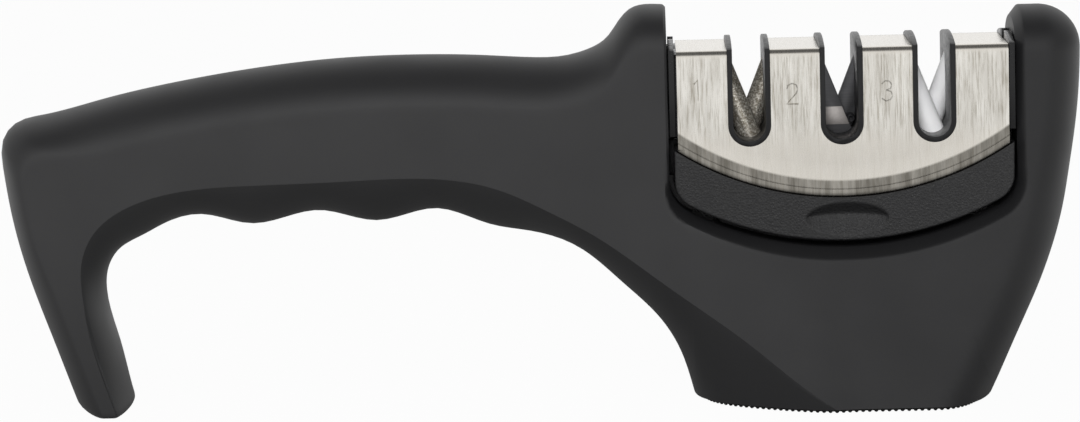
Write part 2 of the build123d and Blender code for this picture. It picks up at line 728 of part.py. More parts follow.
def digit_lines(number):
    """Strokes of a digit in a box one high, centred on zero, as (start, middle or None, end)."""
    if number == 1:
        return [((-0.2, 0.3), None, (0.02, 0.5)), ((0.02, 0.5), None, (0.02, -0.5))]
    if number == 2:
        return [
            ((-0.27, 0.24), (0.02, 0.5), (0.27, 0.22)),
            ((0.27, 0.22), None, (-0.28, -0.5)),
            ((-0.28, -0.5), None, (0.3, -0.5)),
        ]
    return [
        ((-0.24, 0.34), (0.24, 0.26), (-0.04, 0.03)),
        ((-0.04, 0.03), (0.28, -0.24), (-0.27, -0.34)),
    ]


digit_gap = slot_pitch / 2
for number, x in enumerate(slots, 1):
    strokes = Curve()
    for start, middle, end in digit_lines(number):
        if middle is None:
            strokes += Line(start, end)
        else:
            strokes += ThreePointArc(start, middle, end)
    digit = trace(scale(strokes, by=digit_height), digit_stroke)
    on_face = Plane(
        origin=(x - digit_gap, -cover_half_depth, digit_z), x_dir=(1, 0, 0), z_dir=(0, -1, 0),
    )
    steel_cover = steel_cover - extrude(on_face * digit, -engraving_depth)
export_step(steel_cover, "parts/steel_cover.step")

# ---- screws of the cartridge
screws = []
for x, y in cartridge_screw_places:
    head_bottom = cartridge_screw_seat - cartridge_screw_head_height
    screw = upright(x, y, head_bottom, cartridge_screw_seat, cartridge_screw_head_radius)
    screw = screw + upright(x, y, head_bottom, core_bottom + cartridge_screw_bite, cartridge_screw_radius)
    screws.append(screw)
export_step(Compound(children=screws), "parts/cartridge_screws.step")
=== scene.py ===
# %% [markdown]
# # A three-stage knife sharpener
# The sharpener has two rigid bodies. The housing is a bent handle with a leg, a wide foot and two towers.
# The cartridge sits between the towers and lifts out. The CAD model gives every piece its place, so this
# file loads it first and then dresses it: some nodes keep their mesh and get a material, and others are
# replaced by a smoother mesh built from the same sizes.

# %% Load the model
import math
import bpy
import bmesh
import numpy as np
from mathutils import Euler, Matrix, Vector


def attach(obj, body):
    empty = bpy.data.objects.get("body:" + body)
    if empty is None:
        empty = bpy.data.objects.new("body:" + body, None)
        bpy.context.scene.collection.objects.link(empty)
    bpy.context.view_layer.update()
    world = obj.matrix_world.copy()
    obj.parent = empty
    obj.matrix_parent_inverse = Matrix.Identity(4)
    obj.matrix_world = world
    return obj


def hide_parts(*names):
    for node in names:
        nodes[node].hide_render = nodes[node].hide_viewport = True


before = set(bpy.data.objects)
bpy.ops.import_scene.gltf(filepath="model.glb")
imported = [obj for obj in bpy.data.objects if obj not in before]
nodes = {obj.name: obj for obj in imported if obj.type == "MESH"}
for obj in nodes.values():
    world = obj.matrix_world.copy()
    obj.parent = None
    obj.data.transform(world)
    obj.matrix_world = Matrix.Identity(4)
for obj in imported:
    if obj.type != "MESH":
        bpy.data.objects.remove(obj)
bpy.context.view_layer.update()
MM = 0.001

# %% [markdown]
# ## Camera
# A long lens stands 750 mm away and 8 degrees above the table, nearly straight at the front. It could be
# aimed with a Track To constraint, but a turned matrix also holds the small roll of the picture.

# %% Camera
camera_aim = Vector((-0.25, 0.0, 36.8)) * MM
camera_distance = 750 * MM
camera_azimuth, camera_elevation, camera_roll = (math.radians(turn) for turn in (1.6, 8, -1.63))

lens = bpy.data.cameras.new("camera")
lens.lens, lens.sensor_width = 128.47, 36
lens.clip_start, lens.clip_end = 0.01, 20
camera = bpy.data.objects.new("camera", lens)
bpy.context.scene.collection.objects.link(camera)
swing = Matrix.Rotation(camera_azimuth, 3, "Z")
back = swing @ Vector((0, -math.cos(camera_elevation), math.sin(camera_elevation)))
tilt = Euler((math.pi / 2 - camera_elevation, 0, 0)).to_matrix()
turn = swing @ tilt @ Matrix.Rotation(camera_roll, 3, "Z")
camera.matrix_world = Matrix.Translation(camera_aim + back * camera_distance) @ turn.to_4x4()
bpy.context.scene.camera = camera
print("camera at", [round(v, 3) for v in camera.matrix_world.translation])

# %% [markdown]
# ## Lines of the housing
# The housing is drawn with a few curves on its mid-plane: its outer line, its underside with the finger
# grooves, the crease where the flat sides meet the underside, and the nose. A fifth line gives the half width
# of the foot as it flares. They are lists of points in millimetres, so that a curve is easy to correct.

# %% Points of the lines, in millimetres
outer_points = [
    (-90.2, -3.0), (-91.3, 0.0), (-96.1, 14.0), (-100.1, 26.0), (-103.0, 38.0), (-104.45, 48.5),
    (-104.1, 54.0), (-101.8, 56.6), (-96.5, 58.1), (-85.0, 60.8), (-69.4, 64.0),
    (-53.8, 66.3), (-38.3, 67.7), (-22.8, 68.0), (-11.2, 67.6), (-1.0, 66.9),
    (5.0, 67.0), (9.6, 68.1), (13.3, 70.1), (15.9, 73.5), (18.4, 75.9),
    (24.0, 76.5), (32.0, 76.0), (45.0, 74.9), (60.0, 74.7), (63.0, 74.7),
]
under_points = [
    (-80.5, -3.0), (-81.2, 0.0), (-83.6, 12.7), (-85.6, 20.5), (-85.3, 27.0), (-82.4, 31.6), (-77.7, 34.2),
    (-72.9, 36.6), (-65.8, 38.0), (-56.5, 35.9), (-42.9, 38.2), (-32.1, 35.9), (-20.3, 38.0),
    (-9.9, 34.6), (-2.5, 33.2), (6.4, 30.2), (15.5, 22.6), (22.4, 15.7), (26.9, 7.8), (29.1, 0.2),
    (31.5, -8.0), (35.0, -20.0), (42.0, -42.0), (52.0, -70.0), (64.0, -100.0),
]
crease_points = [
    (-81.6, -3.0), (-82.6, 0.0), (-85.2, 8.1), (-87.1, 15.0), (-88.4, 23.8), (-88.2, 31.0), (-85.0, 37.0),
    (-80.0, 40.6), (-72.0, 43.3), (-55.7, 44.7), (-36.6, 45.1), (-17.5, 44.9), (-8.0, 42.8),
    (1.5, 38.4), (10.9, 33.2), (19.4, 27.2), (28.0, 21.0), (39.0, 13.3), (48.6, 5.7),
    (54.4, 1.6), (58.0, -0.4), (60.5, -1.0), (63.0, -1.0),
]
nose_points = [
    (82.2, -8.0), (86.6, 0.3), (92.1, 12.1), (95.7, 19.9), (98.7, 27.7), (100.9, 35.5),
    (102.3, 43.3), (103.5, 51.1), (104.3, 58.9), (104.6, 66.7), (104.6, 72.0),
]
flare_points = [
    (-12.0, 12.5), (6.0, 12.8), (20.0, 14.6), (30.0, 17.2), (40.0, 20.8), (48.0, 23.7),
    (55.0, 25.2), (60.0, 25.4), (63.0, 25.4),
]
print("points of the lines:", sum(map(len, (outer_points, under_points, crease_points, nose_points, flare_points))))

# %% [markdown]
# ## From points to smooth lines
# A natural cubic spline goes through every point and bends as little as it can. Blender's Bezier curves need
# two handles per point for the same result. Here a small system of equations finds the bend at each point.

# %% Smooth lines


def smooth_line(points, count=3000):
    """Natural cubic spline through the points, as an array of (x, z)."""
    points = np.array(points, float)
    knots = np.concatenate([[0.0], np.cumsum(np.hypot(*np.diff(points, axis=0).T))])
    gaps = np.diff(knots)
    size = len(points)
    system = np.eye(size)
    right = np.zeros((size, 2))
    for i in range(1, size - 1):
        system[i, i - 1:i + 2] = gaps[i - 1], 2 * (gaps[i - 1] + gaps[i]), gaps[i]
        right[i] = 6 * ((points[i + 1] - points[i]) / gaps[i] - (points[i] - points[i - 1]) / gaps[i - 1])
    bend = np.linalg.solve(system, right)
    at = np.linspace(0, knots[-1], count)
    i = np.clip(np.searchsorted(knots, at, side="right") - 1, 0, size - 2)
    h = gaps[i][:, None]
    left = (knots[i + 1] - at)[:, None]
    done = (at - knots[i])[:, None]
    curve = (bend[i] * left ** 3 + bend[i + 1] * done ** 3) / (6 * h)
    curve += (points[i] / h - bend[i] * h / 6) * left + (points[i + 1] / h - bend[i + 1] * h / 6) * done
    return curve


outer, under, crease, nose, flare = map(
    smooth_line, (outer_points, under_points, crease_points, nose_points, flare_points)
)
print("outer line from", outer.min(0).round(1), "to", outer.max(0).round(1))

# %% [markdown]
# ## Cross-sections
# Every section of the handle follows one rule: an elliptical arch on top, a flat side that spreads towards
# the foot, and a crowned underside. One way to model this is by hand with a subdivision surface. A rule is
# more exact here, because the solid follows it too, and the same function then gives all the sections.

# %% Section sizes, in millimetres
handle_half, tower_half = 12.5, 13.0
handle_arch, leg_arch, tower_arch, nose_arch_at_foot = 9.0, 6.0, 8.0, 13.0
foot_flare = 0.33
tower_top = 74.7
bend_pivot = (-72.0, 24.0)
foot_z = 0.9


def eased(value, start, end):
    """0 before start, 1 after end, smooth between."""
    share = np.clip((value - start) / (end - start), 0, 1)
    return share * share * (3 - 2 * share)


def crossing(line, origin, direction):
    """How far from origin, along direction, a line is first met."""
    side = (line[:, 0] - origin[0]) * direction[1] - (line[:, 1] - origin[1]) * direction[0]
    along = (line[:, 0] - origin[0]) * direction[0] + (line[:, 1] - origin[1]) * direction[1]
    hit = np.nonzero(side[:-1] * side[1:] <= 0)[0]
    share = side[hit] / (side[hit] - side[hit + 1] + 1e-12)
    reached = along[hit] + share * (along[hit + 1] - along[hit])
    return reached[reached > 0].min()


def bezier(points, count=200):
    t = np.linspace(0, 1, count)[:, None]
    p = np.array(points, float)
    return p[0] * (1 - t) ** 3 + 3 * p[1] * t * (1 - t) ** 2 + 3 * p[2] * t * t * (1 - t) + p[3] * t ** 3


print("wall of a section at its shoulder:", handle_half, "mm from the middle")

# %% [markdown]
# ## The rule of a section
# A section knows its plane, where the plane meets the lines, and the curve of its side and its crown. The leg
# is cut level, the bend is cut by planes that turn about a pivot, and the neck is cut upright.

# %% Sections


class Section:
    """One plane across the handle: where it meets the lines, and its half width at each height."""

    def __init__(self, origin, direction, arch, shoulder_half, crease_half, flare_slope):
        self.origin, self.direction = origin, direction
        self.crest = crossing(outer, origin, direction)
        self.shoulder = self.crest - arch
        self.crease = crossing(crease, origin, direction)
        self.under = crossing(under, origin, direction)
        self.shoulder_half, self.crease_half = shoulder_half, crease_half
        length = self.shoulder - self.crease
        self.side = bezier([
            (self.shoulder, shoulder_half),
            (self.shoulder - 0.36 * length, shoulder_half),
            (self.crease + 0.31 * length, crease_half - flare_slope * 0.31 * length),
            (self.crease, crease_half),
        ])
        depth = self.crease - self.under
        self.crown = bezier([
            (self.crease, crease_half), (self.crease - 0.5 * depth, crease_half * 0.84),
            (self.under, crease_half * 0.5), (self.under, 0),
        ])

    def side_half(self, along):
        return np.interp(-np.asarray(along), -self.side[:, 0], self.side[:, 1])

    def place(self, along, y):
        along, y = np.broadcast_arrays(np.asarray(along, float), np.asarray(y, float))
        x = self.origin[0] + self.direction[0] * along
        z = self.origin[1] + self.direction[1] * along
        return np.stack([x, y, z], axis=-1)


below = 200.0


def leg_section(z):
    return Section((bend_pivot[0], z), (-1.0, 0.0), leg_arch, handle_half, handle_half, 0.0)


def bend_section(degrees):
    turn = math.radians(degrees)
    arch = leg_arch + (handle_arch - leg_arch) * eased(180 - degrees, 20, 70)
    return Section(bend_pivot, (math.cos(turn), math.sin(turn)), arch, handle_half, handle_half, 0.0)


def neck_section(x):
    crease_half = np.interp(x, flare[:, 0], flare[:, 1], left=handle_half)
    arch = handle_arch + (tower_arch - handle_arch) * eased(x, 10, 24)
    shoulder_half = handle_half + (tower_half - handle_half) * eased(x, 0, 20)
    return Section((x, -below), (0.0, 1.0), arch, shoulder_half, crease_half, foot_flare * eased(x, 0, 52))


last_neck = neck_section(60.0)
print("section at the head:", round(last_neck.crest - below, 2), round(last_neck.crease - below, 2))

# %% [markdown]
# ## Outline of the pocket
# The pocket for the cartridge is open at the front and the back. Its floor is a wide arc that runs into two
# straight walls over rounded corners, and the cartridge's own bottom, the boat, has the same kind of outline,
# a little smaller. Both come from one class, because formulas give the edge and the distance to it anywhere.

# %% Outlines of the pocket and the boat


class Trough:
    """An outline with a wide arc for its floor, rounded corners and straight walls."""

    def __init__(self, left, right, floor, radius, corner):
        self.left, self.right, self.radius, self.corner = left, right, radius, corner
        self.middle = (left + right) / 2
        self.centre_z = floor + radius
        self.corner_reach = right - corner - self.middle
        self.corner_z = self.centre_z - math.sqrt((radius - corner) ** 2 - self.corner_reach ** 2)
        self.angle = math.atan2(self.corner_reach, self.centre_z - self.corner_z)

    def edge(self, x):
        """Height of the lower edge at x."""
        reach = np.abs(np.asarray(x, float) - self.middle)
        tangent = self.radius * math.sin(self.angle)
        arc = self.centre_z - np.sqrt(self.radius ** 2 - np.minimum(reach, tangent) ** 2)
        past = np.maximum(reach - self.corner_reach, 0)
        corner = self.corner_z - np.sqrt(np.maximum(self.corner ** 2 - past ** 2, 0))
        return np.where(reach > tangent, corner, arc)

    def distance(self, x, z):
        """Distance to the edge, below 0 inside the outline."""
        reach = np.abs(x - self.middle)
        wall = reach - (self.right - self.middle)
        corner = np.hypot(reach - self.corner_reach, z - self.corner_z) - self.corner
        floor = np.hypot(reach, z - self.centre_z) - self.radius
        over_floor = np.arctan2(reach, self.centre_z - z) < self.angle
        return np.where(z > self.corner_z, wall, np.where(over_floor, floor, corner))


pocket = Trough(25.0, 91.3, 30.35, 64.8, 6.7)
boat = Trough(26.0, 90.7, 31.55, 63.6, 5.5)
print("corners start at z =", round(pocket.corner_z, 2), "and", round(boat.corner_z, 2))

# %% [markdown]
# ## Sloping edge and head
# The pocket's edge slopes inwards, more at the bottom than at the handle, so that the cartridge finds its way
# in and a cloth can't catch. A Bevel modifier would need a clean edge loop there. Instead the surface drops
# by an even amount near the pocket. The head's half width is a rule too, with a half-elliptical nose.

# %% Slope round the pocket and surface of the head
left_edge, floor_edge, right_edge = 0.5, 1.85, 1.5
left_steepness, floor_steepness, right_steepness = 1.0, 2.1, 1.3
edge_blend = 0.28
side_edge_above, floor_edge_below = 46, 36
shoulder_z = tower_top - tower_arch
corner_x = np.interp(shoulder_z, nose[:, 1], nose[:, 0]) - tower_arch


def edge_drop(x, z):
    """How far the pocket's sloping edge lies below the full surface."""
    low = eased(z, side_edge_above, floor_edge_below)
    width = np.where(x < pocket.middle, left_edge, right_edge)
    width = width + (floor_edge - width) * low
    steepness = np.where(x < pocket.middle, left_steepness, right_steepness)
    steepness = steepness + (floor_steepness - steepness) * low
    blend = edge_blend * width / floor_edge
    inside = width - np.maximum(pocket.distance(x, z), 0)
    rounded = np.clip(inside + blend, 0, 2 * blend) ** 2 / (4 * blend)
    return steepness * np.where(inside > blend, inside, rounded)


def head_half(x, z):
    """Half width of the head, from the split at x = 60 to the nose."""
    side = last_neck.side_half(z + below)
    tip = np.interp(z, nose[:, 1], nose[:, 0])
    reach = tower_arch + (nose_arch_at_foot - tower_arch) * (1 - eased(z, -25, 62))
    round_nose = np.sqrt(np.clip(1 - np.clip((x - tip + reach) / reach, 0, 1) ** 2, 0, 1))
    rise = np.hypot(np.clip(x - corner_x, 0, None), np.clip(z - shoulder_z, 0, None)) / tower_arch
    dome = tower_half * np.sqrt(np.clip(1 - rise ** 2, 0, 1))
    return np.where(z > shoulder_z, dome, side * round_nose)


print("slope at the floor's middle:", round(float(edge_drop(pocket.middle, pocket.edge(pocket.middle))), 2))

# %% [markdown]
# ## Rows and columns of the housing
# The skin is a net of four-sided faces. Columns run across the handle, and rows run from the crest, or from
# the pocket's edge, down to the crease or the foot. The rows crowd together at the rounded pocket edge and
# at the crease, where the surface turns quickly. Both sides come from the same net, mirrored.

# %% Rows of the net
close_rows = [0.0, 0.12, 0.25, 0.5, 0.8, 1.2, 1.5, 1.7, 1.9, 2.15, 2.7, 3.4]
even_rows = 16
crease_rows = [0.4, 0.15, 0.05, 0.0]
arch_rows, upper_rows, crown_rows = 18, 8, 14
seam_rounding_leg, seam_rounding_handle = 0.4, 0.06


def row_distances(length, nose_share=0.0):
    """Distances of the lower rows from their top, over a given length."""
    squeeze = min(1.0, length / 8)
    start, end = close_rows[-1] * squeeze, length - crease_rows[0] * squeeze
    share = np.linspace(0, 1, even_rows + 1)[1:]
    share = share * (1 - nose_share) + np.sin(share * math.pi / 2) * nose_share
    return np.concatenate([
        np.array(close_rows) * squeeze, start + (end - start) * share, length - np.array(crease_rows[1:]) * squeeze,
    ])


def seam_rounding(x, z):
    """The seam shows as a fine groove on the leg and closes up along the handle."""
    on_leg = (1 - eased(z, 8, 24)) * (1 - eased(x, -75, -60))
    return seam_rounding_handle + (seam_rounding_leg - seam_rounding_handle) * on_leg


def crease_drop(distance, rounding):
    """How far the edge turns in, at a distance from the seam."""
    inside = np.clip(rounding - distance, 0, None)
    return rounding - np.sqrt(np.maximum(rounding ** 2 - inside ** 2, 0))


print("rows close to the edge:", len(close_rows), "and over the side:", even_rows)

# %% [markdown]
# ## The rounded tip of the leg
# The leg ends in a soft edge, rounder at its back than at its front. Each section near the tip is drawn in
# towards its middle, by the height of a quarter circle, so the tip needs no bevel.

# %% Tip of the leg
back_tip_rounding, inner_tip_rounding, side_tip_rounding = 2.2, 1.2, 0.6


def drawn_in(radius, z):
    """How far a rounded lower edge lies inside the wall at height z."""
    inside = max(radius - z, 0) / radius
    return radius * (1 - math.sqrt(1 - inside ** 2))


def tip_round(points, z):
    """Draws a section of the leg in near its tip, so that its lower edge is rounded."""
    middle = (outer[0][0] + under[0][0]) / 2
    half = (under[0][0] - outer[0][0]) / 2
    offset = (points[..., 0] - middle) / half
    radius = np.where(offset < 0, drawn_in(back_tip_rounding, z), drawn_in(inner_tip_rounding, z))
    points[..., 0] -= offset * radius
    points[..., 1] *= 1 - drawn_in(side_tip_rounding, z) / handle_half
    return points


print("tip drawn in by", drawn_in(back_tip_rounding, 0), "mm at its back")

# %% [markdown]
# ## Columns of the handle
# One section gives two columns of points: arch, upper side and lower side for the shell, and the crown for
# the underside. The split between upper and lower side is level with the pocket's corner, so that the rows
# of the handle meet the rows of the head.

# %% Columns from sections
at_pocket = neck_section(pocket.left)
upper_share = (at_pocket.shoulder - below - pocket.corner_z) / (at_pocket.shoulder - at_pocket.crease)


def arch_fullness(section):
    """2 is an ellipse; the handle's arch is a little flatter on its slopes, with rounder shoulders."""
    on_handle = 1.0 if section.direction[1] < 1.0 else 1 - float(eased(section.origin[0], 0, 16))
    return 2 - 0.3 * on_handle


def column(section, drop=0.0):
    """Rows of one whole section on the front side: arch, upper side, lower side."""
    turn = np.linspace(0, math.pi / 2, arch_rows + 1)
    power = 2 / arch_fullness(section)
    arch = section.place(
        section.shoulder + (section.crest - section.shoulder - drop) * np.cos(turn) ** power,
        (section.shoulder_half - drop) * np.sin(turn) ** power,
    )
    length = section.shoulder - section.crease
    split = section.shoulder - upper_share * length
    upper = np.linspace(section.shoulder, split, upper_rows + 1)[1:]
    distances = row_distances(split - section.crease)
    lower = split - distances[1:]
    along = np.concatenate([upper, lower])
    spots = section.place(along, section.side_half(along))
    rounding = float(seam_rounding(spots[-1, 0], spots[-1, 2]))
    spots[:, 1] -= edge_drop(spots[:, 0], spots[:, 2]) + crease_drop(along - section.crease, rounding)
    return np.concatenate([arch, spots])


def crown_column(section):
    """Rows of one section of the underside, from the crease to the middle or to the foot's rim."""
    share = np.linspace(0, 1, crown_rows + 1)
    end = 1.0
    if section.direction[1] == 1.0 and section.under - below < foot_z - 1e-6:
        heights = section.crown[:, 0] - below
        end = float(np.interp(-foot_z, -heights, np.linspace(0, 1, len(heights))))
    at = share * end * (len(section.crown) - 1)
    index = np.arange(len(section.crown))
    along = np.interp(at, index, section.crown[:, 0])
    y = np.interp(at, index, section.crown[:, 1])
    spots = section.place(along, y)
    rounding = float(seam_rounding(spots[0, 0], spots[0, 2]))
    inward = crease_drop(np.hypot(*(spots - spots[0])[:, 1:].T), rounding)
    spots[:, 1] -= inward
    return spots


print("share of the side above the split:", round(float(upper_share), 3))

# %% [markdown]
# ## Net of the handle
# The columns stand close together where the shape turns quickly: at the leg's tip, round the bend, and at the
# tower's wall.

# %% Net of the housing
leg_heights = [0.0, 0.05, 0.15, 0.3, 0.6, 1.2, 2.0, 3.0, 4.5, 6.5, 8.5, 10.5, 12.5, 14.5, 16.5, 18.5, 20.5, 22.5]
bend_turns = np.arange(180, 92, -2.5)
neck_places = np.concatenate([
    np.arange(-72, 8, 2.0), np.arange(8, 22.5, 1.0), [22.5, 23.0, 23.6, 24.1, 24.5, 24.75, 24.9, 25.0],
])
sections = [leg_section(z) for z in leg_heights]
sections += [bend_section(turn) for turn in bend_turns]
sections += [neck_section(x) for x in neck_places]
side_columns, crown_columns = [], []
for index, section in enumerate(sections):
    drop = 0.0
    if section.direction[1] == 1.0 and section.origin[0] > 20:
        drop = float(edge_drop(np.array(section.origin[0]), np.array(60.0)))
    side, crown = column(section, drop), crown_column(section)
    if index < len(leg_heights):
        side, crown = tip_round(side, leg_heights[index]), tip_round(crown, leg_heights[index])
    side_columns.append(side)
    crown_columns.append(crown)

print("columns of the handle:", len(side_columns), "with", len(side_columns[0]), "rows")

# %% [markdown]
# ## Net below the pocket
# Past the pocket's left wall the rows start at the pocket's edge. The bow is where the underside meets the
# foot, and further on the crease itself runs down to the foot, so the columns crowd there.

# %% Net below the pocket


def foot_crossing(line):
    """The x at which a line comes down to the foot's rim."""
    right = line[line[:, 0] > 20]
    return float(np.interp(-foot_z, -right[:, 1], right[:, 0]))


bow_x, crease_end_x = foot_crossing(under), foot_crossing(crease)
floor_places = np.concatenate([
    [25.0, 25.03, 25.12, 25.3, 25.6, 26.0, 26.5, 27.1, 27.8, 28.4],
    bow_x + np.array([0.0, 0.02, 0.1, 0.25, 0.5, 0.85, 1.3, 1.8, 2.5, 3.4, 4.4, 5.5, 6.8, 8.2]),
    np.arange(bow_x + 9.6, crease_end_x - 0.8, 1.5), [crease_end_x, 58.2, 60.0],
])
floor_columns, bow_columns = [], []
for x in floor_places:
    section = neck_section(x)
    top = float(pocket.edge(x))
    end = max(section.crease - below, foot_z)
    z = top - row_distances(top - end)
    spots = section.place(z + below, section.side_half(z + below))
    spots[:, 1] -= edge_drop(spots[:, 0], spots[:, 2]) + crease_drop(z - end, seam_rounding_handle)
    floor_columns.append(spots)
    if x <= crease_end_x + 1e-6:
        bow_columns.append(crown_column(section))
print("columns below the pocket:", len(floor_columns), "with", len(floor_columns[0]), "rows")

# %% [markdown]
# ## Net of the head
# From x = 60 on, the columns fan out from the pocket's edge to the bottom of the foot, round the lower
# corner and up the nose, like the ribs of a half-open fan. This keeps the faces four-sided at the nose.

# %% Head columns
nose_foot_x = float(np.interp(foot_z, nose[:, 1], nose[:, 0]))
fan_floor, fan_nose, fan_wall = 18, 26, 24


def pocket_path(count, start_x):
    """Points along the pocket's edge, from start_x to where the right wall begins."""
    arc_turn = np.linspace(math.asin((start_x - pocket.middle) / pocket.radius), pocket.angle, 200)
    arc_x = pocket.middle + pocket.radius * np.sin(arc_turn)
    arc = np.stack([arc_x, pocket.centre_z - pocket.radius * np.cos(arc_turn)], 1)
    turn = np.linspace(pocket.angle, math.pi / 2, 100)
    centre_x = pocket.right - pocket.corner
    corner = np.stack([centre_x + pocket.corner * np.sin(turn), pocket.corner_z - pocket.corner * np.cos(turn)], 1)
    path = np.concatenate([arc, corner[1:]])
    length = np.concatenate([[0], np.cumsum(np.hypot(*np.diff(path, axis=0).T))])
    at = np.linspace(0, length[-1], count)
    return np.stack([np.interp(at, length, path[:, 0]), np.interp(at, length, path[:, 1])], 1)


lower_edge = pocket_path(fan_floor + fan_nose + 1, 60.0)
bottom_share = np.sin(np.linspace(0, 1, fan_floor + 1) * math.pi / 2)
bottom = np.stack([60.0 + (nose_foot_x - 60.0) * bottom_share, np.full(fan_floor + 1, foot_z)], 1)
nose_z = foot_z + (pocket.corner_z - foot_z) * np.linspace(0, 1, fan_nose + 1)[1:] ** 1.15
nose_side = np.stack([np.interp(nose_z, nose[:, 1], nose[:, 0]), nose_z], 1)
starts = list(lower_edge)
ends = list(bottom) + list(nose_side)
wall_z = np.concatenate([
    np.linspace(pocket.corner_z, shoulder_z, fan_wall // 2 + 1)[1:],
    shoulder_z + tower_arch * np.sin(np.linspace(0, math.pi / 2, fan_wall // 2 + 1)[1:]),
])
for z in wall_z:
    starts.append((pocket.right, z))
    rise = max(z - shoulder_z, 0)
    tip = corner_x + math.sqrt(max(tower_arch ** 2 - rise ** 2, 0)) if rise else np.interp(z, nose[:, 1], nose[:, 0])
    ends.append((tip, z))
starts, ends = np.array(starts), np.array(ends)

head_columns = []
for index, (start, end) in enumerate(zip(starts, ends)):
    length = float(np.hypot(*(end - start)))
    towards_nose = float(eased(index, fan_floor - 8, fan_floor + 2))
    share = row_distances(length, towards_nose) / length
    x = start[0] + (end[0] - start[0]) * share
    z = start[1] + (end[1] - start[1]) * share
    half = head_half(x, z)
    drop = edge_drop(x, z)
    tilt = math.asin(min(max(start[1] - shoulder_z, 0) / tower_arch, 1))
    y = half - drop * math.cos(tilt) - crease_drop((1 - share) * length, seam_rounding_handle) * (1 - towards_nose)
    z = z - drop * math.sin(tilt)
    head_columns.append(np.stack([x, np.clip(y, 0, None), z], 1))
print("head columns:", len(head_columns), "nose at", round(ends[:, 0].max(), 2))

# %% [markdown]
# ## From nets to closed walls
# Points and faces become a mesh, whose doubles are merged and whose normals are then turned outwards. Edges
# that turn by more than a given angle stay sharp. A modifier is applied by taking the evaluated mesh, because
# that works without selecting anything.

# %% Mesh tools


def new_piece(name, mesh):
    piece = bpy.data.objects.new(name, mesh)
    bpy.context.scene.collection.objects.link(piece)
    return piece


def soften(piece, smooth_below=35):
    """Smooth shading, except over edges that turn by more than the given angle."""
    net = bmesh.new()
    net.from_mesh(piece.data)
    for face in net.faces:
        face.smooth = True
    for edge in net.edges:
        turned = edge.calc_face_angle(0) if len(edge.link_faces) == 2 else 0
        edge.smooth = turned < math.radians(smooth_below)
    net.to_mesh(piece.data)
    net.free()
    return piece


def mesh_piece(name, points, faces, smooth_below=35, opening=0):
    """New piece from points in millimetres, merged, with its faces pointing outwards.

    An open skin has no inside for Blender to find, so opening says where its open side is: 1 up, -1 down.
    """
    mesh = bpy.data.meshes.new(name)
    mesh.from_pydata([tuple(p * MM for p in point) for point in points], [], faces)
    net = bmesh.new()
    net.from_mesh(mesh)
    bmesh.ops.remove_doubles(net, verts=net.verts, dist=0.004 * MM)
    bmesh.ops.dissolve_degenerate(net, edges=net.edges, dist=0.003 * MM)
    bmesh.ops.recalc_face_normals(net, faces=net.faces)
    facing_up = sum(face.normal.z * face.calc_area() for face in net.faces)
    if facing_up * opening > 0:
        bmesh.ops.reverse_faces(net, faces=net.faces)
    net.to_mesh(mesh)
    net.free()
    return soften(new_piece(name, mesh), smooth_below)


def apply_modifiers(piece):
    """Turns the evaluated result into a plain mesh and removes the modifiers."""
    seen = piece.evaluated_get(bpy.context.evaluated_depsgraph_get())
    mesh = bpy.data.meshes.new_from_object(seen)
    piece.modifiers.clear()
    piece.data = mesh
    return piece


def modify(piece, kind, **settings):
    """Adds a modifier, sets it and applies it."""
    change = piece.modifiers.new(kind.lower(), kind)
    for name, value in settings.items():
        setattr(change, name, value)
    return apply_modifiers(piece)


print("doubles are merged below", 0.004, "mm")

# %% [markdown]
# ## Shell and underside
# Each net is mirrored, its two halves are joined, and the pocket's floor and walls are spanned across. The
# result is a skin with open rims at the crease and the foot. The Solidify modifier gives it the wall of a
# moulded shell, which is 2.4 mm, so it is closed and hollow like the real one.

# %% Build the housing shell and the underside
shell_wall = 2.4


class Skin:
    """Collects nets of points and their mirror images."""

    def __init__(self):
        self.points, self.faces = [], []

    def add(self, columns):
        """Adds a net on the front side (-Y) and its mirror; returns both as arrays of point numbers."""
        net = np.array(columns)
        both = []
        for hand in (-1, 1):
            placed = net * np.array([1, hand, 1])
            numbers = np.arange(net.shape[0] * net.shape[1]).reshape(net.shape[:2]) + len(self.points)
            self.points += [tuple(p) for p in placed.reshape(-1, 3)]
            for near, far in zip(numbers, numbers[1:]):
                quads = zip(near, far, far[1:], near[1:])
                self.faces += quads if hand < 0 else (quad[::-1] for quad in quads)
            both.append(numbers)
        return both

    def span(self, front, back):
        """Straight faces from a front line of points to its mirror at the back."""
        for i in range(len(front) - 1):
            self.faces.append((front[i], back[i], back[i + 1], front[i + 1]))


shell = Skin()
front, rear = shell.add(side_columns)
shell.span(front[0], rear[0])
shell.span(front[-1][:arch_rows + upper_rows + 1], rear[-1][:arch_rows + upper_rows + 1])
floor_front, floor_rear = shell.add(floor_columns)
head_front, head_rear = shell.add(head_columns)
shell.span(floor_front[:, 0], floor_rear[:, 0])
shell.span(head_front[:, 0], head_rear[:, 0])
housing_shell = mesh_piece("shell_skin", shell.points, shell.faces, opening=-1)

strip = Skin()
front, rear = strip.add(crown_columns)
strip.span(front[0], rear[0])
strip.add(bow_columns)
handle_underside = mesh_piece("underside_skin", strip.points, strip.faces, opening=1)

for piece in (housing_shell, handle_underside):
    modify(piece, "SOLIDIFY", thickness=shell_wall * MM, offset=-1, use_even_offset=True)
    soften(piece)
    print(piece.name, "faces:", len(piece.data.polygons))

# %% [markdown]
# ## Rails and seat in the pocket
# Two low rails guide the cartridge when it is pushed in, and it rests on a broad rib on the pocket's floor.
# They are plain blocks with rounded edges, so a block is made in bmesh, shaped, and softened with a Bevel
# modifier. Joined into the shell, they are one moulding with it.

# %% Blocks and joined pieces


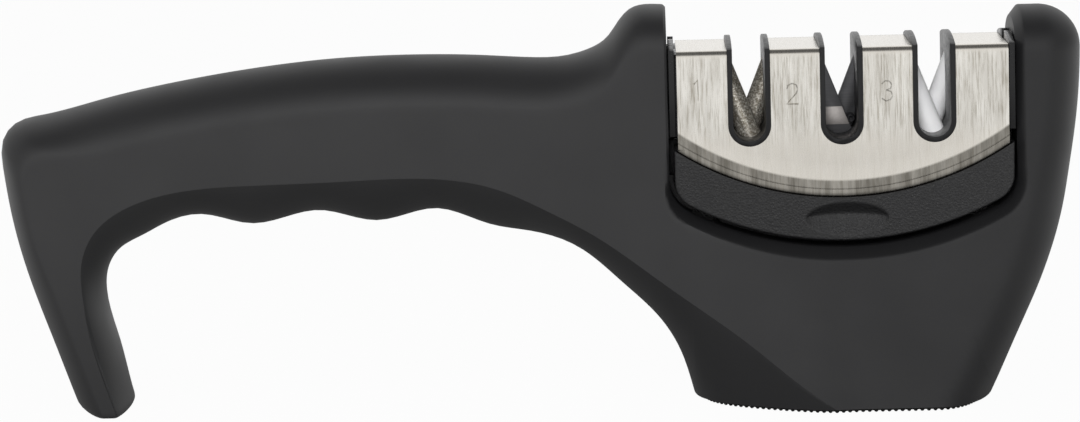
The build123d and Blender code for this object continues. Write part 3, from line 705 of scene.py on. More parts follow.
def prism(name, outline, y0, y1, rounding, segments=3):
    """A block with an outline of (x, z) points, from y0 to y1, with its edges rounded."""
    count = len(outline)
    points = [(x, y, z) for y in (y0, y1) for x, z in outline]
    faces = [tuple(range(count)), tuple(range(2 * count - 1, count - 1, -1))]
    faces += [(i, (i + 1) % count, (i + 1) % count + count, i + count) for i in range(count)]
    piece = mesh_piece(name, points, faces, 30)
    if rounding:
        modify(
            piece, "BEVEL", width=rounding * MM, segments=segments, limit_method="ANGLE", angle_limit=math.radians(40),
        )
    return soften(piece, 50)


def join_into(target, extras):
    """Adds the meshes of extra pieces to the target and removes them."""
    net = bmesh.new()
    net.from_mesh(target.data)
    for extra in extras:
        net.from_mesh(extra.data)
        bpy.data.objects.remove(extra)
    net.to_mesh(target.data)
    net.free()


print("shell points before the rails:", len(housing_shell.data.vertices))

# %% [markdown]
# ## Ribs where the cartridge touches
# The seat follows the boat's arc, 0.05 mm below it. Rails run up both walls, and a rib carries each of them
# round the pocket's corner to the seat. All of them reach a little into the wall, so that no gap shows.

# %% Rails and seat
rail_half, rail_height, rail_top, into_wall = 2.0, 0.9, 68.6, 0.6
seat_half_length, seat_half_depth = 24.0, 6.0
rib_outer, rib_inner = 7.3, 5.85
base_half_depth = 14.0
seat_x = np.linspace(boat.middle - seat_half_length, boat.middle + seat_half_length, 33)
seat_top = boat.centre_z - 0.05 - np.sqrt(boat.radius ** 2 - (seat_x - boat.middle) ** 2)
seat_bottom = pocket.edge(seat_x) - into_wall
seat_outline = list(zip(seat_x, seat_top)) + list(zip(seat_x[::-1], seat_bottom[::-1]))
moulded_on = [prism("seat", seat_outline, -seat_half_depth, seat_half_depth, 0.3)]
rail_bottom = pocket.corner_z - 2
left_rail = (pocket.left - into_wall, pocket.left + rail_height)
right_rail = (pocket.right - rail_height, pocket.right + into_wall)
for x0, x1 in (left_rail, right_rail):
    outline = [(x0, rail_bottom), (x1, rail_bottom), (x1, rail_top), (x0, rail_top)]
    moulded_on.append(prism("rail", outline, -rail_half, rail_half, 0.35))
rib_turn = np.linspace(-0.1, math.pi / 2 - pocket.angle + 0.12, 15)
for centre_x, hand in ((pocket.left + pocket.corner, -1), (pocket.right - pocket.corner, 1)):
    outer_arc, inner_arc = (
        [(centre_x + hand * reach * math.cos(t), pocket.corner_z - reach * math.sin(t)) for t in rib_turn]
        for reach in (rib_outer, rib_inner)
    )
    moulded_on.append(prism("corner_rib", outer_arc + inner_arc[::-1], -seat_half_depth, seat_half_depth, 0.1))
join_into(housing_shell, moulded_on)
print("seat top at its middle:", round(float(seat_top.min()), 2), "rails up to", rail_top)

# %% [markdown]
# ## Nubbed rubber sole
# The foot stands on a rubber pad with a row of small round nubs along its rim, which grip a worktop. The pad
# follows the foot's rim at a distance of 1.2 mm, and its outline is resampled to 180 even steps. The nubs
# repeat, so Geometry Nodes place them further on.

# %% Sole outline and pad
sole_top, pad_bottom, sole_inset = 0.9, 0.4, 1.2
nub_pitch, nub_radius = 1.25, 0.42

rim = [column[-1] for column in bow_columns if column[-1][0] >= bow_x - 0.01]
rim += [column[-1] for column in floor_columns if column[-1][0] > crease_end_x + 0.3]
rim += [column[-1] for column in head_columns[1:fan_floor + 1]]
rim = np.array(rim)[:, :2] * np.array([1, -1])
rim = np.concatenate([rim, rim[::-1] * np.array([1, -1])])
rim = rim[np.concatenate([[True], np.hypot(*np.diff(rim, axis=0).T) > 0.05])]
around = np.concatenate([[0], np.cumsum(np.hypot(*np.diff(rim, axis=0).T))])
even = np.linspace(0, around[-1], 181)[:-1]
rim = np.stack([np.interp(even, around, rim[:, 0]), np.interp(even, around, rim[:, 1])], 1)
along = np.roll(rim, -1, axis=0) - np.roll(rim, 1, axis=0)
along /= np.hypot(*along.T)[:, None]
outward = np.stack([along[:, 1], -along[:, 0]], 1)
outward *= np.sign(np.sum(outward * (rim - rim.mean(0)), 1).mean())
pad_rim = rim - outward * sole_inset

count = len(pad_rim)
levels = [(sole_top, 0.0), (pad_bottom + 0.15, 0.0), (pad_bottom, 0.15)]
pad_points = [
    tuple(spot) + (z,) for z, inward in levels for spot in pad_rim - outward * inward
]
pad_faces = [tuple(range(count)), tuple(range(2 * count, 3 * count))]
for level in range(2):
    first = level * count
    pad_faces += [
        (first + i, first + (i + 1) % count, first + count + (i + 1) % count, first + count + i)
        for i in range(count)
    ]
sole = mesh_piece("sole_with_nubs", pad_points, pad_faces)
print("sole from x =", pad_rim[:, 0].min().round(1), "to", pad_rim[:, 0].max().round(1))

# %% [markdown]
# ## Helpers for nodes
# Shaders and Geometry Nodes are both node trees, so the same small functions serve both. One fills inputs,
# with a value, a socket, or a node that stands for its first output. The other adds a node and fills it.
# Colours are written in hex, as on a screen, and turned into the linear light that shaders count in.

# %% Node helpers and colours


def fill(tree, node, inputs):
    """Sets or links the inputs of a node, by name or number."""
    for key, value in inputs.items():
        if isinstance(value, bpy.types.Node):
            value = next(output for output in value.outputs if output.enabled)
        if isinstance(value, bpy.types.NodeSocket):
            tree.links.new(value, node.inputs[key])
        else:
            node.inputs[key].default_value = value


def add(tree, kind, inputs=None, **settings):
    """Adds a node, sets its properties and fills its inputs."""
    node = tree.nodes.new(kind)
    for name, value in settings.items():
        setattr(node, name, value)
    fill(tree, node, inputs or {})
    return node


def linear(colour):
    """An sRGB hex colour as linear RGBA."""
    parts = [int(colour[i:i + 2], 16) / 255 for i in (1, 3, 5)]
    return tuple(c / 12.92 if c <= 0.04045 else ((c + 0.055) / 1.055) ** 2.4 for c in parts) + (1.0,)


def new_finish(name, colour, roughness, metallic=0.0):
    """A new material; returns it, its tree, its Principled shader and the Object coordinates."""
    finish = bpy.data.materials.new(name)
    finish.use_nodes = True
    tree = finish.node_tree
    shader = tree.nodes["Principled BSDF"]
    fill(tree, shader, {"Base Color": linear(colour), "Roughness": roughness, "Metallic": metallic})
    return finish, tree, shader, add(tree, "ShaderNodeTexCoord").outputs["Object"]


def blend_colours(tree, share, low, high):
    """Mixes two colours, hex or from nodes, by a share from another node."""
    low, high = (linear(colour) if isinstance(colour, str) else colour for colour in (low, high))
    return add(tree, "ShaderNodeMix", {0: share, 6: low, 7: high}, data_type="RGBA")


per_mm = 1 / MM
print("mid grey in linear light:", round(linear("#808080")[0], 3))

# %% [markdown]
# ## Soft-touch black
# The housing is ABS coated with a soft-touch elastomer. The eye gets a deep matt black with wide, dim
# highlights and a very fine pebble. The pebble is under 0.1 mm on the real coat, so it is drawn at 0.4 mm.
# A slow noise makes the sheen uneven, as handling does. The sheen also weakens from the handle to the foot, which is
# painted shade for the light that falls off there.

# %% Soft-touch coat
soft_touch, tree, shader, place = new_finish("soft_touch_black", "#19191a", 0.5)
pebble = add(tree, "ShaderNodeTexNoise", {"Vector": place, "Scale": per_mm / 0.4, "Detail": 2.0})
handling = add(tree, "ShaderNodeTexNoise", {"Vector": place, "Scale": per_mm / 14, "Detail": 3.0})
sheen = add(tree, "ShaderNodeMapRange", {
    "Value": handling, "From Min": 0.3, "From Max": 0.7, "To Min": 0.46, "To Max": 0.53,
})
# Painted shade: the sheen weakens from the handle to the foot, to darken the foot where the light falls off.
painted_foot_shade = add(tree, "ShaderNodeMapRange", {
    "Value": add(tree, "ShaderNodeSeparateXYZ", {0: place}).outputs["X"],
    "From Min": -10 * MM, "From Max": 75 * MM, "To Min": 0.6, "To Max": 0.38,
}, interpolation_type="SMOOTHSTEP")
fill(tree, shader, {
    "IOR": 1.58, "Specular IOR Level": painted_foot_shade, "Roughness": sheen,
    "Base Color": blend_colours(tree, pebble, "#161617", "#1c1c1d"),
    "Normal": add(tree, "ShaderNodeBump", {"Height": pebble, "Strength": 0.12, "Distance": 0.05 * MM}),
})
print(soft_touch.name, "nodes:", len(tree.nodes))

# %% [markdown]
# ## Spark-textured black
# The crescent under the steel is ABS from a spark-eroded mould. Its tiny facets catch the light one by one,
# so it sparkles where the coat beside it doesn't. Voronoi cells and noise, added up in the bump, make the
# facets. They are about 0.15 mm on the real part and are drawn at 0.3 to 0.4 mm.

# %% Spark-textured ABS
spark_texture, tree, shader, place = new_finish("spark_textured_abs", "#0f0f10", 0.4)
facets = add(tree, "ShaderNodeTexVoronoi", {"Vector": place, "Scale": per_mm / 0.42})
grain = add(tree, "ShaderNodeTexNoise", {"Vector": place, "Scale": per_mm / 0.3, "Detail": 3.0})
height = add(tree, "ShaderNodeMath", {0: facets, 1: grain}, operation="ADD")
glint = add(tree, "ShaderNodeMapRange", {
    "Value": grain, "From Min": 0.35, "From Max": 0.65, "To Min": 0.55, "To Max": 0.3,
})
fill(tree, shader, {
    "IOR": 1.54, "Specular IOR Level": 0.58, "Roughness": glint,
    "Base Color": blend_colours(tree, grain, "#0c0c0d", "#141415"),
    "Normal": add(tree, "ShaderNodeBump", {"Height": height, "Strength": 0.5, "Distance": 0.12 * MM}),
})
print(spark_texture.name, "nodes:", len(tree.nodes))

# %% [markdown]
# ## Plain moulded plastics
# The inner parts are uncoated: glossy ABS for the core, polypropylene for the slot liners, and ABS for the
# plates. Moulded plastic shows a soft orange-peel ripple of a few millimetres and faint scuffs, so one
# function makes the three from their gloss and colour.

# %% Core, liner and plate plastics


def moulded_plastic(name, low, high, roughness, ripple_mm, scuff_mm):
    """Plastic with a ripple in its bump, and scuffs in its tone and gloss."""
    finish, tree, shader, place = new_finish(name, low, roughness)
    ripple = add(tree, "ShaderNodeTexNoise", {"Vector": place, "Scale": per_mm / ripple_mm, "Detail": 1.0})
    scuffs = add(tree, "ShaderNodeTexNoise", {
        "Vector": place, "Scale": per_mm / scuff_mm, "Detail": 4.0, "Distortion": 0.6,
    })
    gloss = add(tree, "ShaderNodeMapRange", {
        "Value": scuffs, "From Min": 0.35, "From Max": 0.7, "To Min": roughness - 0.05, "To Max": roughness + 0.1,
    })
    fill(tree, shader, {
        "Specular IOR Level": 0.35, "Roughness": gloss, "Base Color": blend_colours(tree, scuffs, low, high),
        "Normal": add(tree, "ShaderNodeBump", {"Height": ripple, "Strength": 0.15, "Distance": 0.03 * MM}),
    })
    return finish


core_plastic = moulded_plastic("glossy_black_abs", "#0c0c0d", "#121213", 0.25, 2.0, 0.9)
liner_plastic = moulded_plastic("black_polypropylene", "#0e0e0f", "#151516", 0.34, 1.5, 0.7)
plate_plastic = moulded_plastic("black_abs", "#1a1a1b", "#242425", 0.45, 3.0, 1.2)
print("plastics:", core_plastic.name, liner_plastic.name, plate_plastic.name)

# %% [markdown]
# ## Brushed stainless steel
# The cover is a thin stainless sheet, brushed before it is folded. The lines run up the front, over the top
# and down the back, so each noise is squeezed along X only. Lines of about 0.1 mm are drawn at 0.24 mm, and
# 1.3 mm bands gather them into lighter and darker stretches, as a brushing belt does.

# %% Brush lines
brushed_steel, tree, shader, place = new_finish("brushed_stainless_steel", "#c9c4bd", 0.34, 1.0)
brushed = []
for width, length, detail, roughness, low, high in ((0.24, 5, 4.0, 0.62, 0.34, 0.54), (1.3, 9, 3.0, 0.5, 0.3, 0.7)):
    squeeze = add(tree, "ShaderNodeMapping", {
        "Vector": place, "Scale": (per_mm / width, per_mm / length, per_mm / length),
    })
    streaks = add(tree, "ShaderNodeTexNoise", {
        "Vector": squeeze, "Scale": 1.0, "Detail": detail, "Roughness": roughness,
    })
    brushed.append((streaks, add(tree, "ShaderNodeMapRange", {"Value": streaks, "From Min": low, "From Max": high})))
(lines, line_share), (bands, band_share) = brushed
both_shares = add(tree, "ShaderNodeMix", {0: 0.4, 2: line_share, 3: band_share}, data_type="FLOAT")
line_colour = blend_colours(tree, both_shares, "#a49e92", "#efece5")
print("streaks:", len(brushed))

# %% [markdown]
# ## Where the lines show
# The brush lines are strongest in the upper part, fade towards the lip and stop at the fold. Where they fade,
# and over the top, the sheet takes an even pale tone, which is painted reflection of the bright front light.
# Below the bend a streaky dark band is painted shade, for the dark that the joggle's curve mirrors. The masks
# are heights, and the distance from the centre of the lip's arc. Metal brushed like this spreads its
# reflections across the lines, which Anisotropic gives.

# %% Zones, painted reflection and painted dark band
lip_middle_x, lip_radius, lip_low_z = 58.2, 58.0, 40.05
lip_centre_z = lip_low_z + lip_radius
here = add(tree, "ShaderNodeSeparateXYZ", {0: place}).outputs
upper_zone = add(tree, "ShaderNodeMapRange", {
    "Value": here["Z"], "From Min": 49 * MM, "From Max": 55 * MM, "To Min": 0.25, "To Max": 1.0,
}, interpolation_type="SMOOTHSTEP")
below_fold = add(tree, "ShaderNodeMapRange", {
    "Value": here["Z"], "From Min": 66.8 * MM, "From Max": 67.6 * MM, "To Min": 1.0, "To Max": 0.1,
})
line_zone = add(tree, "ShaderNodeMath", {0: upper_zone, 1: below_fold}, operation="MULTIPLY")
from_centre = add(tree, "ShaderNodeVectorMath", {
    0: add(tree, "ShaderNodeCombineXYZ", {"X": here["X"], "Z": here["Z"]}),
    1: (lip_middle_x * MM, 0.0, lip_centre_z * MM),
}, operation="DISTANCE")
# Painted shade: below the bend a streaky dark band stands for the dark that the joggle's curve mirrors.
below_bend = add(tree, "ShaderNodeMapRange", {
    "Value": from_centre, "From Min": (lip_radius - 3.2) * MM, "From Max": (lip_radius - 2.8) * MM,
})
dark_band_streaks = add(tree, "ShaderNodeMapRange", {
    "Value": bands, "From Min": 0.35, "From Max": 0.65, "To Min": 0.6, "To Max": 0.92,
})
painted_dark_band = add(tree, "ShaderNodeMath", {0: below_bend, 1: dark_band_streaks}, operation="MULTIPLY")
contrast = add(tree, "ShaderNodeMath", {0: line_zone, 1: painted_dark_band}, operation="MAXIMUM")
# Painted reflection: an even pale tone where the lines fade and on the top, for the bright light that the smooth lower
# front and the top mirror.
painted_pale_tone = blend_colours(tree, contrast, "#ddd8cf", "#e1dcd3")
sheet = blend_colours(tree, contrast, painted_pale_tone, line_colour)
gloss = add(tree, "ShaderNodeMapRange", {
    "Value": lines, "From Min": 0.3, "From Max": 0.7, "To Min": 0.22, "To Max": 0.32,
})
# 625e56 is the painted shade of the streaky band below the bend.
fill(tree, shader, {
    "Base Color": blend_colours(tree, painted_dark_band, sheet, "#625e56"), "Roughness": gloss,
    "Normal": add(tree, "ShaderNodeBump", {"Height": lines, "Strength": 0.25, "Distance": 0.02 * MM}),
    "Anisotropic": 0.6, "Tangent": add(tree, "ShaderNodeCombineXYZ", {"X": 1.0}),
})
print(brushed_steel.name, "nodes:", len(tree.nodes))

# %% [markdown]
# ## Diamond-coated steel
# The coarse rods are nickel-plated steel with diamond grit in the plating. The grit looks like gold-grey
# sand under a metal skin: bright points beside dark pits. Grit of 0.07 mm is drawn at 0.24 mm, with Voronoi
# cells for the points.

# %% Diamond grit
diamond_grit, tree, shader, place = new_finish("diamond_coated_steel", "#b5ad9c", 0.38, 0.72)
grit = add(tree, "ShaderNodeTexVoronoi", {"Vector": place, "Scale": per_mm / 0.24})
pits = add(tree, "ShaderNodeTexNoise", {"Vector": place, "Scale": per_mm / 0.5, "Detail": 4.0})
bright = add(tree, "ShaderNodeSeparateColor", {"Color": grit.outputs["Color"]})
mixed = add(tree, "ShaderNodeMath", {0: bright, 1: pits}, operation="MULTIPLY")
share = add(tree, "ShaderNodeMapRange", {"Value": mixed, "From Min": 0.12, "From Max": 0.55})
fill(tree, shader, {
    "Base Color": blend_colours(tree, share, "#968e7f", "#fffaf0"),
    "Normal": add(tree, "ShaderNodeBump", {"Height": grit, "Strength": 0.35, "Distance": 0.05 * MM}),
})
print(diamond_grit.name, "nodes:", len(tree.nodes))

# %% [markdown]
# ## Tungsten carbide
# The blades of the second slot are sintered tungsten carbide, ground flat. The eye gets a dark grey metal
# with fine grinding marks that run across the leaning blade, drawn at 0.25 mm.

# %% Ground carbide
blade_lean = math.radians(21.5)
carbide, tree, shader, place = new_finish("tungsten_carbide", "#555557", 0.42, 0.6)
across = add(tree, "ShaderNodeMapping", {
    "Vector": place, "Rotation": (0.0, blade_lean, 0.0), "Scale": (per_mm / 5, per_mm / 5, per_mm / 0.25),
})
marks = add(tree, "ShaderNodeTexNoise", {"Vector": across, "Scale": 1.0, "Detail": 3.0})
fill(tree, shader, {
    "Base Color": blend_colours(tree, marks, "#48484a", "#646466"),
    "Normal": add(tree, "ShaderNodeBump", {"Height": marks, "Strength": 0.25, "Distance": 0.02 * MM}),
})
print(carbide.name, "nodes:", len(tree.nodes))

# %% [markdown]
# ## Clouded finishes
# Five finishes are plainer: their tone drifts in clouds, and two of them have a fine tooth. The flat on the
# front blade is carbide ground finer and glossier; its paler tone is painted reflection. The pin is blackened
# steel, whose oxide layer hides most of the metal. The sole is thermoplastic rubber, duller than the coat,
# with a dusty bloom.

# %% Ground flat, pin and rubber


def clouded(name, colour, low, high, roughness, metallic, cloud_mm, detail, tooth=None):
    """A finish with clouds of tone; tooth is the size, strength and depth of a fine bump."""
    finish, tree, shader, place = new_finish(name, colour, roughness, metallic)
    clouds = add(tree, "ShaderNodeTexNoise", {"Vector": place, "Scale": per_mm / cloud_mm, "Detail": detail})
    fill(tree, shader, {"Base Color": blend_colours(tree, clouds, low, high)})
    if tooth:
        size, strength, depth = tooth
        grain = add(tree, "ShaderNodeTexNoise", {"Vector": place, "Scale": per_mm / size, "Detail": 2.0})
        bump = add(tree, "ShaderNodeBump", {"Height": grain, "Strength": strength, "Distance": depth * MM})
        fill(tree, shader, {"Normal": bump})
    return finish, tree, shader, clouds


# The flat's pale tone is painted reflection, for the light that its polished face mirrors.
ground_carbide_painted_reflection = clouded("finely_ground_carbide", "#b5afac", "#a9a3a0", "#c2bdba", 0.34, 0.7, 0.5, 3.0)[0]
blackened = clouded("blackened_steel", "#2c2c2e", "#1d1d1f", "#3a3a3c", 0.36, 0.45, 0.6, 2.0)[0]
rubber = clouded("thermoplastic_rubber", "#1d1d1e", "#19191a", "#252525", 0.78, 0.0, 3, 5.0, (0.3, 0.25, 0.05))[0]
print("clouded:", ground_carbide_painted_reflection.name, blackened.name, rubber.name)

# %% [markdown]
# ## White ceramic and zinc
# The fine rods are sintered alumina: white, dense and satin. Light enters it a little way and comes back
# softened, so it has a short subsurface radius. The screws are zinc-plated steel, a light grey metal with a
# spangle that is glossier in some places than in others.

# %% Alumina and zinc
ceramic, tree, shader, _ = clouded(
    "white_alumina", "#f4f4f5", "#eeeef0", "#fafafa", 0.38, 0.0, 2.5, 2.0, (0.35, 0.1, 0.03),
)
fill(tree, shader, {
    "IOR": 1.76, "Subsurface Weight": 0.15, "Subsurface Radius": (1.0, 1.0, 1.0), "Subsurface Scale": 0.8 * MM,
})
zinc, tree, shader, spangle = clouded("zinc_plated_steel", "#b9bcc0", "#a7abb1", "#c9cbcd", 0.3, 1.0, 0.8, 3.0)
haze = add(tree, "ShaderNodeMapRange", {
    "Value": spangle, "From Min": 0.3, "From Max": 0.7, "To Min": 0.22, "To Max": 0.38,
})
fill(tree, shader, {"Roughness": haze})
print("clouded:", ceramic.name, zinc.name)

# %% [markdown]
# ## The nub tree: its inputs and the rim row
# The tree starts from the pad and four sizes, so the nubs can be changed without touching the tree. The loop
# of edges at the pad's lower rim becomes a curve, is drawn in a little, and is resampled at the pitch of the
# nubs. A curve gives one row that follows the rim at an even step, which a grid of points can't do.

# %% Inputs and rim row
nub_tree = bpy.data.node_groups.new("nubbed_sole", "GeometryNodeTree")
sizes = {"Pitch": nub_pitch, "Nub Radius": nub_radius, "Nub Height": pad_bottom, "Rim Inset": 0.55}
sockets = [("Geometry", "INPUT", "Geometry"), *((name, "INPUT", "Float") for name in sizes)]
sockets += [("Rubber", "INPUT", "Material"), ("Geometry", "OUTPUT", "Geometry")]
for name, side, kind in sockets:
    nub_tree.interface.new_socket(name, in_out=side, socket_type="NodeSocket" + kind)
given = add(nub_tree, "NodeGroupInput").outputs
pad, pitch = given["Geometry"], given["Pitch"]
here = add(nub_tree, "GeometryNodeInputPosition")
pad_middle = [v * MM for v in pad_rim.mean(0)]

at_bottom = add(nub_tree, "FunctionNodeCompare", {
    0: add(nub_tree, "ShaderNodeSeparateXYZ", {0: here}).outputs["Z"], 1: (pad_bottom + 0.01) * MM,
}, data_type="FLOAT", operation="LESS_THAN")
rim_curve = add(nub_tree, "GeometryNodeMeshToCurve", {"Mesh": pad, "Selection": at_bottom})
from_middle = add(nub_tree, "ShaderNodeVectorMath", {0: here, 1: (*pad_middle, 0.0)}, operation="SUBTRACT")
outwards = add(nub_tree, "ShaderNodeVectorMath", {0: from_middle}, operation="NORMALIZE")
step_in = add(nub_tree, "ShaderNodeMath", {0: given["Rim Inset"], 1: -1.0}, operation="MULTIPLY")
shift = add(nub_tree, "ShaderNodeVectorMath", {0: outwards, "Scale": step_in}, operation="SCALE")
rim_row = add(nub_tree, "GeometryNodeSetPosition", {"Geometry": rim_curve, "Offset": shift})
rim_spots = add(nub_tree, "GeometryNodeResampleCurve", {"Curve": rim_row, "Length": pitch}, mode="LENGTH")
rim_points = add(nub_tree, "GeometryNodeCurveToPoints", {"Curve": rim_spots}, mode="EVALUATED")
print("nodes for the rim row:", len(nub_tree.nodes))

# %% [markdown]
# ## The nub tree: instances
# A nub is a low sphere of few faces, half sunk in the pad. One sphere is instanced on the row of points, scaled
# to the nub's radius and height. The tree ends by making the instances real and giving them their rubber,
# and its inputs are set on the modifier before the result is taken as a mesh.

# %% Nubs by Geometry Nodes
ball = add(nub_tree, "GeometryNodeMeshUVSphere", {"Segments": 8, "Rings": 5, "Radius": 1.0})
nub_size = add(nub_tree, "ShaderNodeCombineXYZ", {
    "X": given["Nub Radius"], "Y": given["Nub Radius"], "Z": given["Nub Height"],
})
nubs = add(nub_tree, "GeometryNodeInstanceOnPoints", {
    "Points": rim_points, "Instance": add(nub_tree, "GeometryNodeSetShadeSmooth", {0: ball}), "Scale": nub_size,
})
whole = add(nub_tree, "GeometryNodeJoinGeometry", {0: pad})
fill(nub_tree, whole, {0: nubs})
real = add(nub_tree, "GeometryNodeRealizeInstances", {0: whole})
coloured = add(nub_tree, "GeometryNodeSetMaterial", {"Geometry": real, "Material": given["Rubber"]})
add(nub_tree, "NodeGroupOutput", {0: coloured})

growing = sole.modifiers.new("nubs", "NODES")
growing.node_group = nub_tree
values = {**{name: size * MM for name, size in sizes.items()}, "Rubber": rubber}
for item in nub_tree.interface.items_tree:
    if item.in_out == "INPUT" and item.name in values:
        growing[item.identifier] = values[item.name]
apply_modifiers(sole)
print("sole faces:", len(sole.data.polygons))

# %% [markdown]
# ## Rounded copies
# A moulded or cut part never has a perfectly sharp edge, and the small highlight along each edge is what
# makes it look real. Here a copy of the CAD mesh is merged, its flat triangles are dissolved into whole
# faces, and a Bevel modifier rounds the edges.

# %% Copies with rounded edges


def rounded_copy(node, name, rounding):
    """A copy of a CAD node with its edges rounded by the given number of millimetres."""
    net = bmesh.new()
    net.from_mesh(nodes[node].data)
    bmesh.ops.remove_doubles(net, verts=net.verts, dist=0.003 * MM)
    bmesh.ops.dissolve_limit(net, angle_limit=math.radians(0.5), verts=net.verts, edges=net.edges)
    mesh = bpy.data.meshes.new(name)
    net.to_mesh(mesh)
    net.free()
    piece = new_piece(name, mesh)
    modify(
        piece, "BEVEL", width=rounding * MM, segments=2, limit_method="ANGLE",
        angle_limit=math.radians(35), miter_outer="MITER_ARC",
    )
    print(name, "faces:", len(piece.data.polygons))
    return soften(piece, 50)


liners = [rounded_copy(f"slot_guide_{i}", f"slot_liner_{i}", 0.3) for i in (1, 2, 3)]
front_core = rounded_copy("core_front", "core_half_front", 0.2)
rear_core = rounded_copy("core_rear", "core_half_rear", 0.2)
front_blade = rounded_copy("carbide_blade_front", "blade_front", 0.12)
rear_blade = rounded_copy("carbide_blade_rear", "blade_rear", 0.12)

# %% [markdown]
# ## The crescent's face
# The crescent is the cartridge's own base: a thin-walled boat with a finger dimple in its front and back. Its
# face is a net between the boat's outline and the arc of the steel's lower edge. The dimple has a steep upper
# lip that a fingertip lifts against, and runs out softly below, so its depth is a rule too.

# %% Net of the crescent
dimple_x, dimple_z, dimple_half_length, dimple_half_height, dimple_depth = 58.7, 35.85, 7.9, 3.2, 1.6
dimple_slope_share = 0.62
crescent_rounding = 0.5


def lip_z(x, rise=0.0):
    """Height of the steel's lower edge, or of a line that runs rise above it."""
    return lip_centre_z - np.sqrt((lip_radius - rise) ** 2 - (np.asarray(x, float) - lip_middle_x) ** 2)


def dimple(x, z):
    """Depth of the finger dimple: steep at its top, shallow at its foot."""
    chord = np.sqrt(1 - np.clip(np.abs(x - dimple_x) / dimple_half_length, 0, 1) ** 2)
    up = np.clip(((z - dimple_z) / dimple_half_height / np.maximum(chord, 0.01) + 1) / 2, 0, 1)
    rising = np.clip(up / dimple_slope_share, 0, 1)
    falling = np.clip((1 - up) / (1 - dimple_slope_share), 0, 1)
    deep = np.where(up < dimple_slope_share, rising, falling)
    return dimple_depth * chord * (deep - 0.12 * deep ** 6)


end_steps = np.array([0.0, 0.04, 0.12, 0.24, 0.38, 0.5, 0.8, 1.3, 2.0, 2.8, 3.8, 5.0])
middle_steps = np.concatenate([
    np.arange(boat.left + 6.2, 49.5, 1.1), np.arange(49.8, 67.5, 0.28), np.arange(68.0, boat.right - 6, 1.1),
])
crescent_columns = []
for x in np.concatenate([boat.left + end_steps, middle_steps, boat.right - end_steps[::-1]]):
    low, high = float(boat.edge(x)), float(lip_z(x, -0.12))
    z = low + np.concatenate([end_steps[:6], np.linspace(0.5, high - low, 34)[1:]])
    inside = np.clip(crescent_rounding + boat.distance(x, z), 0, crescent_rounding)
    drop = crescent_rounding - np.sqrt(crescent_rounding ** 2 - inside ** 2)
    y = base_half_depth - np.maximum(drop, dimple(x, z))
    crescent_columns.append(np.stack([np.full_like(z, x), y, z], 1))
print("crescent columns:", len(crescent_columns), "of", len(crescent_columns[0]), "points")

# %% [markdown]
# ## Tools for turning and cutting
# Round parts are turned from a profile, like on a lathe. Holes, slots and engraving are cut with a Boolean
# modifier, which follows a curved wall exactly, where a net would need a loop of edges for each hole.

# %% Turning and cutting


def turned(name, profile, x, y, segments=32):
    """A ring or plug turned from a closed profile of (radius, z)."""
    turn = np.linspace(0, 2 * math.pi, segments, endpoint=False)
    points = [(x + r * math.cos(t), y + r * math.sin(t), z) for t in turn for r, z in profile]
    size = len(profile)
    faces = []
    for i in range(segments):
        a, b = i * size, (i + 1) % segments * size
        faces += [(a + j, b + j, b + (j + 1) % size, a + (j + 1) % size) for j in range(size)]
    return mesh_piece(name, points, faces)


def cut(piece, cutters, crossing_itself=False):
    """Subtracts the cutters from a piece and removes them."""
    for cutter in cutters:
        modify(piece, "BOOLEAN", operation="DIFFERENCE", solver="EXACT", use_self=crossing_itself, object=cutter)
        bpy.data.objects.remove(cutter)
    print(piece.name, "after the cuts:", len(piece.data.polygons), "faces")


print("tools ready:", turned.__name__, cut.__name__)

# %% [markdown]
# ## The crescent's wall, sockets and ridges
# Solidify gives the face its 2 mm wall. Four screws hold the core from below, so four holes are cut and a
# socket with a step for the screw's head is set into each. Two pairs of low ridges run beside the rails, so
# that the crescent can't shift sideways on them.

# %% Build the crescent
crescent_wall = 2.0
screw_spots = [(x, y) for x in (49.3, 66.9) for y in (-7.0, 7.0)]
head_radius, shank_radius, socket_radius = 2.3, 1.35, 3.4
hull = Skin()
front, rear = hull.add(crescent_columns)
hull.span(front[:, 0], rear[:, 0])
hull.span(front[0], rear[0])
hull.span(front[-1], rear[-1])
crescent = mesh_piece("crescent", hull.points, hull.faces, 40, opening=1)
modify(crescent, "SOLIDIFY", thickness=crescent_wall * MM, offset=-1)

drills = []
for x, y in screw_spots:
    bpy.ops.mesh.primitive_cylinder_add(
        vertices=32, radius=head_radius * MM, depth=6 * MM, location=(x * MM, y * MM, 32.5 * MM),
    )
    drills.append(bpy.context.object)
bpy.context.view_layer.update()
cut(crescent, drills)
socket_profile = [
    (head_radius, 32.6), (head_radius, 40.0), (shank_radius, 40.0), (shank_radius, 44.9),
    (socket_radius, 44.9), (socket_radius, 32.6),
]
fitted = [turned("socket", socket_profile, x, y) for x, y in screw_spots]
ridge_low, ridge_high, ridge_depth, ridge_gap = 42.4, 50.6, 0.8, 0.15
for end, wall_x in ((boat.left, pocket.left + ridge_gap), (boat.right, pocket.right - ridge_gap)):
    inner = end + math.copysign(ridge_depth, end - wall_x)
    outline = [(wall_x, ridge_low), (inner, ridge_low), (inner, ridge_high), (wall_x, ridge_high)]
    for near in (-3.6, 2.35):
        fitted.append(prism("ridge", outline if end > 50 else outline[::-1], near, near + 1.25, 0.1, 2))
join_into(crescent, fitted)
soften(crescent, 40)
print("crescent faces:", len(crescent.data.polygons))

# %% [markdown]
# ## The folded cover
# The cover is one strip of sheet: flat on top, folded down at both sides, and joggled outwards near its
# curved lower edge, so that it grips the crescent. Its section is a short list of points, swept along X, and
# Solidify gives it the sheet's thickness.

# %% Sheet of the cover
cover_left, cover_right, cover_half, cover_top, fold = 26.8, 89.8, 12.7, 68.4, 1.5
